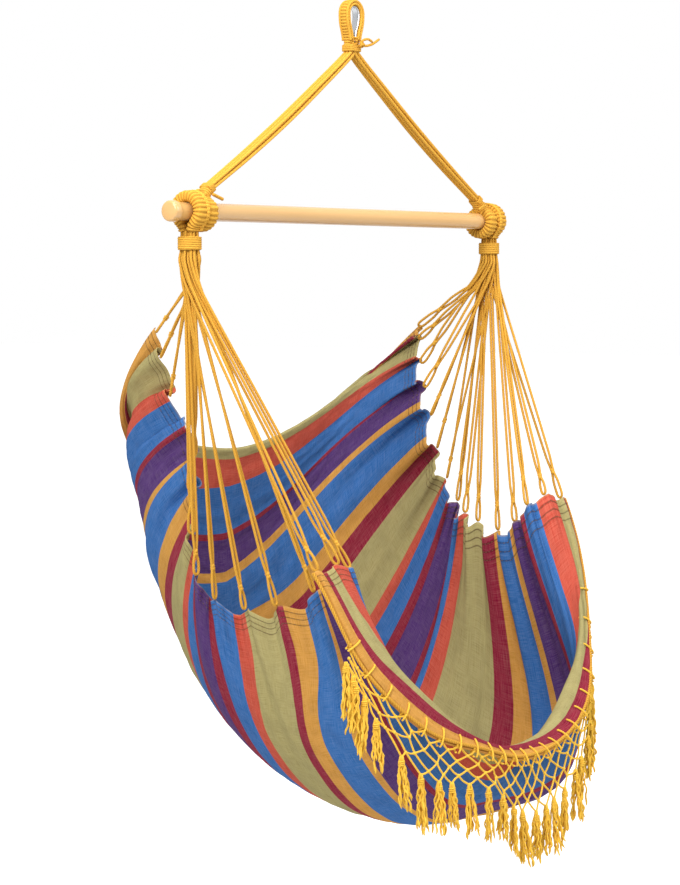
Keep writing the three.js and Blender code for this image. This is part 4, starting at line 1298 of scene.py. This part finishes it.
def stripe_share(u, v):
    """Which share of the cloth's stripes lies at a place, with what the pleats swallow."""
    share = v
    for strength, slack in (
        (1 - eased((u - 0.27) / 0.28), ((0.0, 0.0), *LEFT_SLACK)),
        (eased((u - 0.48) / 0.22), RIGHT_SLACK),
        (1 - eased((u - 0.04) / 0.15), LEFT_HEM_SLACK),
        (eased((u - 0.8) / 0.14), RIGHT_HEM_SLACK),
    ):
        share = share + strength * np.interp(v, *np.transpose(slack))
    return share


def cloth_half(u, v, settings):
    """Half the cloth's thickness in metres: thin, with a padded roll along the front edge."""
    from_front = (1 - v) * settings.length
    roll = np.sqrt(np.maximum(0, 1 - ((from_front - ROLL_HALF) / ROLL_HALF) ** 2))
    share = (u - NET_END) / (1 - 2 * NET_END) * bpy.context.scene.hammock_rope.columns
    puff = 0.78 + 0.22 * np.abs(np.sin(np.pi * share)) ** 0.6
    soft = 1 + 0.25 * smooth_noise(u * 90, v * 40, 61)
    return settings.thickness / 2 + ROLL_THICKNESS * MM * roll * puff * soft


# The cloth's quads from hem to hem, the places from the back edge to the front roll, and those over it.
CLOTH_COLUMNS = 150
CLOTH_PLACES = 300
ROLL_PLACES = 19


def build_cloth(settings):
    """The seat cloth, a thin sheet with gathered hems, sewn rows and soft folds."""
    columns = CLOTH_COLUMNS
    spread = np.linspace(0, 1, columns + 1)
    u = spread - 0.045 * np.sin(2 * math.pi * spread) / (2 * math.pi)
    roll = 2 * ROLL_HALF / settings.length
    over_roll = 0.5 + 0.5 * np.cos(np.linspace(0, math.pi, ROLL_PLACES)[1:])
    v = np.concatenate((np.linspace(0, 1 - roll, CLOTH_PLACES), 1 - roll * over_roll))
    rows = len(v) - 1
    u, v = np.meshgrid(u, v, indexing="ij")
    middle = sculpted_point(u, v, settings)[0]
    normal = unit(np.cross(np.gradient(middle, axis=0), np.gradient(middle, axis=1)))
    half = normal * cloth_half(u, v, settings)[:, :, None]
    vertices = np.concatenate([face.reshape(-1, 3) for face in (middle + half, middle - half)])
    uv = np.stack((u * settings.width, stripe_share(u, v) * settings.length), -1).reshape(-1, 2)
    faces = []
    tall = rows + 1
    shift = (columns + 1) * tall
    for i in range(columns):
        for j in range(rows):
            a = i * tall + j
            b = a + tall
            faces.append((a, b, b + 1, a + 1))
            faces.append((a + shift, a + 1 + shift, b + 1 + shift, b + shift))
    for i in range(columns):
        a = i * tall
        b = a + tall
        faces.append((b, a, a + shift, b + shift))
        faces.append((a + rows, b + rows, b + rows + shift, a + rows + shift))
    for j in range(rows):
        a = columns * tall + j
        faces.append((a + 1, a, a + shift, a + 1 + shift))
        faces.append((j, j + 1, j + 1 + shift, j + shift))
    obj = make_object("seat_fabric", vertices, faces, np.concatenate((uv, uv)))
    return dress(obj, "cloth", "cloth", "seat", "seat_cloth")


def sculpted_point(u, v, settings):
    """Points on the sculpted cloth's middle and its outward direction."""
    outward = cloth_outward(u, v)
    return cloth_surface(u, v) + outward * cloth_sculpt(u, v, settings)[..., None], outward


def build_stitches(settings):
    """Three rows of stitches in each side hem."""
    stitches = []
    count = int(settings.length / (settings.stitch * 1.6))
    v = (np.arange(count) + 0.5) / count
    for edge in (0, 1):
        for row in range(STITCH_ROWS):
            reach = settings.hem * (STITCH_ROW_START + STITCH_ROW_GAP * row) / settings.width
            u = np.full(count, abs(edge - reach))
            middle, outward = sculpted_point(u, v, settings)
            ahead = sculpted_point(u, np.minimum(v + 0.3 / count, 1), settings)[0]
            behind = sculpted_point(u, np.maximum(v - 0.3 / count, 0), settings)[0]
            lift = settings.thickness / 2 + 0.0001
            for face in (1, -1):
                for spot, way in zip(middle + outward * face * lift, unit(ahead - behind)):
                    turn = tuple(Vector(way).to_track_quat("Z", "Y").to_euler())
                    stitches.append((spot, turn, (0.0011, 0.0011, settings.stitch)))
    return scatter("hem_stitches", stitches, bead(5, 4), "thread", "rope", "seat")


# The fringe

# A small step along the front edge, as a share of it, and how far beyond it its cord is, in millimetres.
EDGE_STEP = 1e-3
EDGE_CORD_REACH = FRINGE_CORD / 2 + 2 * TOUCH_GAP

# In metres: the edge cord's radius and the length of its lay, the lay of the net's cord, and how far
# that strays and sags between its knots.
EDGE_CORD_RADIUS = 0.0031
EDGE_CORD_LAY = 0.016
NET_LAY = 0.010
NET_SLACK = 0.0012


def net_surface(u, w):
    """A place of the net: u along the front edge, w from the edge down to the tassels."""
    u, w = np.broadcast_arrays(np.asarray(u, float), np.asarray(w, float))
    along = unit(cloth_way(u, 1.0, EDGE_STEP, 0))
    level = np.maximum(np.linalg.norm(along[..., :2], axis=-1), 0.2)
    outward = np.stack((along[..., 1], -along[..., 0], np.zeros_like(u)), -1) / level[..., None]
    start = EDGE_CORD_REACH / level
    from_end = np.minimum(u, 1 - u) - NET_END
    fullness = NET_END_DROP + (1 - NET_END_DROP) * eased(from_end / NET_END_REACH)
    fall = start + NET_DROP * fullness * read_shares(LIP_SHARES, 6, u) * w
    swing = NET_SWING * w * w * (1 - eased((u - 0.62) / 0.2))
    drop = np.stack((np.zeros_like(u), np.zeros_like(u), -fall * MM), -1)
    return edge_line(u) + drop + outward * (swing * MM)[..., None]


def edge_line(u):
    """The middle of the cord along the front edge, just beyond it in the cloth's own plane."""
    beyond = unit(np.cross(cloth_outward(u, 1.0), cloth_way(u, 1.0, EDGE_STEP, 0)))
    return cloth_surface(u, 1.0) + beyond * EDGE_CORD_REACH * MM


def build_edge_cord():
    """The cord that runs along the front edge."""
    parts = Parts()
    twisted_cord(parts, edge_line(np.linspace(0, 1, 90)), EDGE_CORD_RADIUS, EDGE_CORD_LAY, 12, depth=0.18)
    return parts.dress("fringe_edge_cord", "seat", "fringe_cord", slot="fringe")


def net_start(share):
    """How far along the front edge a share of the net's own length lies."""
    return NET_END + (1 - 2 * NET_END) * share


def net_strand(parts, rope, points, sides=6, step=0.0024):
    """A piece of the net's two-ply cord."""
    twisted_cord(parts, np.array(points), rope.net / 2, NET_LAY, sides, plies=2, step=step)


def net_knots(rope):
    """The net's knots, row by row."""
    rng = random.Random(7)
    rows = []
    for row in range(rope.mesh_rows + 1):
        shift = 0.5 * (row % 2)
        count = rope.columns + (0 if row % 2 else 1)
        knots = []
        for column in range(count):
            u = net_start((column + shift) / rope.columns)
            w = row / rope.mesh_rows
            if row:
                u += rng.uniform(-0.16, 0.16) / rope.columns
                w += rng.uniform(-0.03, 0.03)
            knots.append(net_surface(u, min(max(w, 0), 1)))
        rows.append(knots)
    return rows


def build_net(rope):
    """Knotted meshes, loops round the edge, and one tassel at each lower knot."""
    rng = random.Random(11)
    rows = net_knots(rope)
    parts = Parts()
    for row, (upper, lower) in enumerate(zip(rows, rows[1:])):
        for index, knot in enumerate(upper):
            for other in (index, index + 1) if row % 2 else (index - 1, index):
                if 0 <= other < len(lower):
                    end = lower[other]
                    astray = np.array([rng.uniform(-1, 1) * NET_SLACK for k in range(3)])
                    middle = (knot + end) / 2 + astray
                    middle[2] -= NET_SLACK
                    net_strand(parts, rope, (knot, middle, end), step=0.0028)
    for knot, share in zip(rows[0], np.linspace(0, 1, len(rows[0]))):
        add_edge_wrap(parts, rope, net_start(share), knot)
    tassels = Parts()
    lowest = rows[-1]
    for index, knot in enumerate(lowest):
        add_tassel(tassels, knot, (index + 0.5) / len(lowest), rng)
    for early in (-0.012, 0.006, 0.03):
        add_tassel(tassels, net_surface(NET_END + early, 0.9), 0, rng)
    net = parts.dress("fringe_meshes", "seat", "fringe_net", finish="fringe", slot="fringe")
    bunches = tassels.dress("fringe_tassels", "seat", finish="fringe", slot="fringe")
    size = (rope.net * 2.0, rope.net * 1.7, rope.net * 1.8)
    knots = []
    for row in rows[1:]:
        knots += [(knot, [rng.uniform(0, 3) for k in range(3)], size) for knot in row]
    tied = scatter("fringe_knots", knots, bead(8, 6, 0.3), "fringe", "fringe", "seat")
    return [net, bunches, tied]


def add_edge_wrap(parts, rope, u, knot):
    """Net cord wound over the rolled front hem, a hitch at its edge and the strand to the net."""
    inside = 1 - ROLL_HALF / CLOTH_LENGTH / MM
    centre = cloth_surface(u, inside)
    edge = cloth_surface(u, 1.0)
    beyond = unit(edge - cloth_surface(u, 2 * inside - 1))
    along = unit(cloth_way(u, inside, EDGE_STEP, 0))
    outward = np.cross(along, beyond)
    outward = outward if outward @ cloth_outward(u, inside) > 0 else -outward
    cord = rope.net / 2
    angle = around_circle(16, extra=1)[:, None]
    ring = centre + beyond * np.cos(angle) * (ROLL_HALF + cord * 0.8)
    ring = ring + outward * np.sin(angle) * ((ROLL_THICKNESS + 0.9) * MM * 0.85 + cord)
    net_strand(parts, rope, ring + along * (angle / (2 * math.pi) - 0.5) * 5 * MM, 8)
    hitch = edge + beyond * 1.5 * MM
    for lean in (-1, 1):
        aside = along * lean * 4 * MM
        net_strand(parts, rope, (hitch + aside - outward * 4 * MM, hitch + outward * 5.5 * MM,
                                 hitch - aside + beyond * 3 * MM), 8)
    start = hitch + outward * 4 * MM
    net_strand(parts, rope, (start, (start + knot) / 2, knot))


# A tassel, in metres: its yarns and their radius, how far from its middle they start, the radius of
# the rings wound round its neck, and how thick a yarn is along its length.
TASSEL_YARNS = 14
YARN_RADIUS = 0.0017
TASSEL_NECK = 0.002
COLLAR_RADIUS = 0.0046
YARN_SHAPE = ((0, 0.8, 0.93, 1), (1, 1, 1.25, 0.5))


def add_tassel(parts, top, share, rng):
    """A bunch of kinked yarns with a wound neck."""
    u = net_start(share)
    lean = (net_surface(u, 1.0) - net_surface(u, 0.6)) * np.array((1, 1, 0))
    down = unit(lean * 8 - UPWARD)
    normal, other = [way[0] for way in carried_frames(np.array((top, top + down)))]
    long = rng.uniform(0.083, 0.106)
    spread = rng.uniform(0.0095, 0.0135)
    drift = normal * rng.uniform(-0.006, 0.006) + other * rng.uniform(-0.006, 0.006)
    t = np.linspace(0, 1, 15)[:, None]
    wide = TASSEL_NECK + (spread - TASSEL_NECK) * t**0.75
    for yarn in range(TASSEL_YARNS):
        angle = rng.uniform(0, 2 * math.pi)
        aside = (normal * math.cos(angle) + other * math.sin(angle)) * math.sqrt(rng.random())
        length = long * rng.uniform(0.7, 1.0)
        kink = rng.uniform(0.0016, 0.0034) * np.minimum(1, 3 * t) * 0.7
        phase = rng.uniform(0, 6.28)
        turns = rng.uniform(18, 27)
        bend = normal * np.sin(phase + turns * t) + other * np.cos(phase * 1.7 + turns * 0.8 * t)
        line = top + down * (length * t - 0.002) + aside * wide + drift * t * t + bend * kink
        twisted_cord(parts, line, YARN_RADIUS, 0.009, 6, plies=2, step=0.0042, ends=YARN_SHAPE)
    angle = around_circle(8, 3, 1)[:, None]
    aside = normal * np.cos(angle) + other * np.sin(angle)
    collar = top + down * (0.006 + 0.003 * angle / (2 * math.pi)) + aside * COLLAR_RADIUS
    twisted_cord(parts, collar, 0.0015, 0.008, 6, plies=2, step=0.002)


# Operators


class HAMMOCK_OT_stage(bpy.types.Operator):
    """Set up the floor, the even light, the lamps and the camera"""

    bl_idname = "hammock.stage"
    bl_label = "Stage"

    def execute(self, context):
        build_stage(context.scene.hammock_stage)
        return {"FINISHED"}


class HAMMOCK_OT_eye(bpy.types.Operator):
    """Make the steel thimble, the wound rope eye, its band and its tie knot"""

    bl_idname = "hammock.eye"
    bl_label = "Hanging eye"

    def execute(self, context):
        build_thimble()
        build_eye()
        build_eye_band()
        return {"FINISHED"}


class HAMMOCK_OT_bridle(bpy.types.Operator):
    """Make the bridle's cords, bands and slings"""

    bl_idname = "hammock.bridle"
    bl_label = "Bridle"

    def execute(self, context):
        for side, sign in SIDES:
            build_bridle(context.scene.hammock_rope, side, sign)
        return {"FINISHED"}


class HAMMOCK_OT_bar(bpy.types.Operator):
    """Make the wooden spreader bar"""

    bl_idname = "hammock.bar"
    bl_label = "Spreader bar"

    def execute(self, context):
        build_bar()
        return {"FINISHED"}


class HAMMOCK_OT_clews(bpy.types.Operator):
    """Make the clew loops on the bar with their hitches and bands"""

    bl_idname = "hammock.clews"
    bl_label = "Clew loops"

    def execute(self, context):
        for side, sign in SIDES:
            build_clew(context.scene.hammock_rope, side, sign)
        return {"FINISHED"}


class HAMMOCK_OT_nettles(bpy.types.Operator):
    """Make the doubled cords between the clews and the hems"""

    bl_idname = "hammock.nettles"
    bl_label = "Nettles"

    def execute(self, context):
        for side, sign in SIDES:
            build_nettles(context.scene.hammock_rope, side, sign)
        return {"FINISHED"}


class HAMMOCK_OT_seat(bpy.types.Operator):
    """Make the striped cloth with its hems, and the fringe along its front edge"""

    bl_idname = "hammock.seat"
    bl_label = "Seat and fringe"

    def execute(self, context):
        scene = context.scene
        cloth = build_cloth(scene.hammock_cloth)
        sewn = build_stitches(scene.hammock_cloth)
        edge = build_edge_cord()
        fringe = build_net(scene.hammock_rope)
        return {"FINISHED"}


class HAMMOCK_PT_panel(bpy.types.Panel):
    """Lists the chair's pieces and their settings"""

    bl_idname = "HAMMOCK_PT_panel"
    bl_label = "Hammock chair"
    bl_space_type = "VIEW_3D"
    bl_region_type = "UI"
    bl_category = "Hammock chair"

    def draw(self, context):
        scene = context.scene
        for operator in OPERATORS:
            self.layout.operator(operator.bl_idname)
        for group in (scene.hammock_cloth, scene.hammock_rope, scene.hammock_stage):
            box = self.layout.box()
            for key in group.__annotations__:
                box.prop(group, key)


OPERATORS = (
    HAMMOCK_OT_stage,
    HAMMOCK_OT_eye,
    HAMMOCK_OT_bridle,
    HAMMOCK_OT_bar,
    HAMMOCK_OT_clews,
    HAMMOCK_OT_nettles,
    HAMMOCK_OT_seat,
)
CLASSES = (HammockClothSettings, HammockRopeSettings, HammockStageSettings, *OPERATORS, HAMMOCK_PT_panel)


# The stage

# The photograph, in pixels: its width and height, where the middle of the bar is, and its scale there.
FRAME_WIDTH = 680
FRAME_HEIGHT = 885
BAR_PIXEL = (351.5, 217.0)
PIXELS_PER_MM = 0.559

# The camera's sensor in millimetres, and half the floor's width and its level in metres.
SENSOR_HEIGHT = 24
FLOOR_HALF = 30.0
FLOOR_LEVEL = -1.75

# Lamps: name, azimuth and elevation in degrees, distance and size in metres, share of the key's power.
LAMPS = (
    ("key", -75.0, 38.0, 3.0, 1.8, 1.0),
    ("rim", 20.0, 30.0, 3.0, 1.6, 0.45),
    ("top", -30.0, 75.0, 2.6, 2.0, 0.4),
)
LAMP_AIM = Vector((0, 0, -0.85))


def way_out(azimuth, elevation):
    """The direction from the chair towards an azimuth and an elevation in degrees."""
    side = math.radians(azimuth)
    rise = math.radians(elevation)
    return Vector((math.sin(side) * math.cos(rise), -math.cos(side) * math.cos(rise), math.sin(rise)))


def looking(name, data, place, back):
    """A camera or a lamp at a place, with the chair in front of it."""
    obj = linked(name, data)
    obj.location = place
    obj.rotation_euler = back.to_track_quat("Z", "Y").to_euler()
    return obj


def build_stage(settings):
    """Pale floor and backdrop, soft lamps, and the camera at the photograph's angle."""
    bpy.context.scene.view_settings.view_transform = "Standard"
    build_camera(settings)
    corners = ((-1, -1), (1, -1), (1, 1), (-1, 1))
    floor = make_object("floor", [(x * FLOOR_HALF, y * FLOOR_HALF, FLOOR_LEVEL) for x, y in corners],
                        [(0, 1, 2, 3)], smooth=False)
    floor.data.materials.append(stage_material())
    build_even_light(settings.fill)
    for name, azimuth, elevation, distance, size, share in LAMPS:
        lamp = bpy.data.lights.new(name, "AREA")
        lamp.shape = "DISK"
        lamp.size = size
        lamp.energy = settings.key * share
        way = way_out(azimuth, elevation)
        looking(name, lamp, LAMP_AIM + way * distance, way)


def build_camera(settings):
    """The camera, with the middle of the bar at the pixel that it has in the photograph."""
    back = way_out(settings.azimuth, settings.elevation)
    azimuth = math.radians(settings.azimuth)
    right = Vector((math.cos(azimuth), math.sin(azimuth), 0))
    aim = Vector((0, 0, -BAR_DROP * MM))
    aim -= right * (BAR_PIXEL[0] - FRAME_WIDTH / 2) / PIXELS_PER_MM * MM
    aim += back.cross(right) * (BAR_PIXEL[1] - FRAME_HEIGHT / 2) / PIXELS_PER_MM * MM
    camera = bpy.data.cameras.new("view")
    camera.sensor_fit = "VERTICAL"
    camera.sensor_height = SENSOR_HEIGHT
    camera.lens = SENSOR_HEIGHT * PIXELS_PER_MM * settings.distance / MM / FRAME_HEIGHT
    bpy.context.scene.camera = looking("view", camera, aim + back * settings.distance, back)


def build_even_light(strength):
    """Soft light from all sides, and plain white where the camera sees past the floor."""
    world = bpy.data.worlds.new("even_light")
    world.use_nodes = True
    bpy.context.scene.world = world
    tree = world.node_tree
    soft = tree.nodes["Background"]
    soft.inputs["Color"].default_value = WHITE
    soft.inputs["Strength"].default_value = strength
    white = add_node(tree, "ShaderNodeBackground", {"Color": WHITE, "Strength": 1.0})
    inputs = {0: seen_share(tree), 1: soft.outputs[0], 2: white.outputs[0]}
    mix = add_node(tree, "ShaderNodeMixShader", inputs)
    tree.links.new(mix.outputs[0], tree.nodes["World Output"].inputs["Surface"])


def seen_share(tree):
    """One where the camera, a mirror or glass looks, nothing for light that falls on the chair."""
    rays = add_node(tree, "ShaderNodeLightPath").outputs
    seen = rays["Is Camera Ray"]
    for kind in ("Is Glossy Ray", "Is Transmission Ray"):
        seen = add_node(tree, "ShaderNodeMath", {0: seen, 1: rays[kind]}, operation="MAXIMUM").outputs[0]
    return seen


def stage_material():
    """A matt white floor that still takes the chair's shadow."""
    made = Shader("pale_floor", 0.9)
    made.surface.inputs["Base Color"].default_value = (0.8, 0.8, 0.8, 1.0)
    made.surface.inputs["Emission Color"].default_value = WHITE
    glow = made.sum("MULTIPLY", seen_share(made.tree), 0.75)
    made.tree.links.new(glow, made.surface.inputs["Emission Strength"])
    return made.material


def register():
    for cls in CLASSES:
        bpy.utils.register_class(cls)
    bpy.types.Scene.hammock_cloth = PointerProperty(type=HammockClothSettings)
    bpy.types.Scene.hammock_rope = PointerProperty(type=HammockRopeSettings)
    bpy.types.Scene.hammock_stage = PointerProperty(type=HammockStageSettings)


def unregister():
    del bpy.types.Scene.hammock_stage
    del bpy.types.Scene.hammock_rope
    del bpy.types.Scene.hammock_cloth
    for cls in reversed(CLASSES):
        bpy.utils.unregister_class(cls)


def main():
    register()
    for operator in OPERATORS:
        group, action = operator.bl_idname.split(".")
        getattr(getattr(bpy.ops, group), action)()


if __name__ == "__main__":
    main()
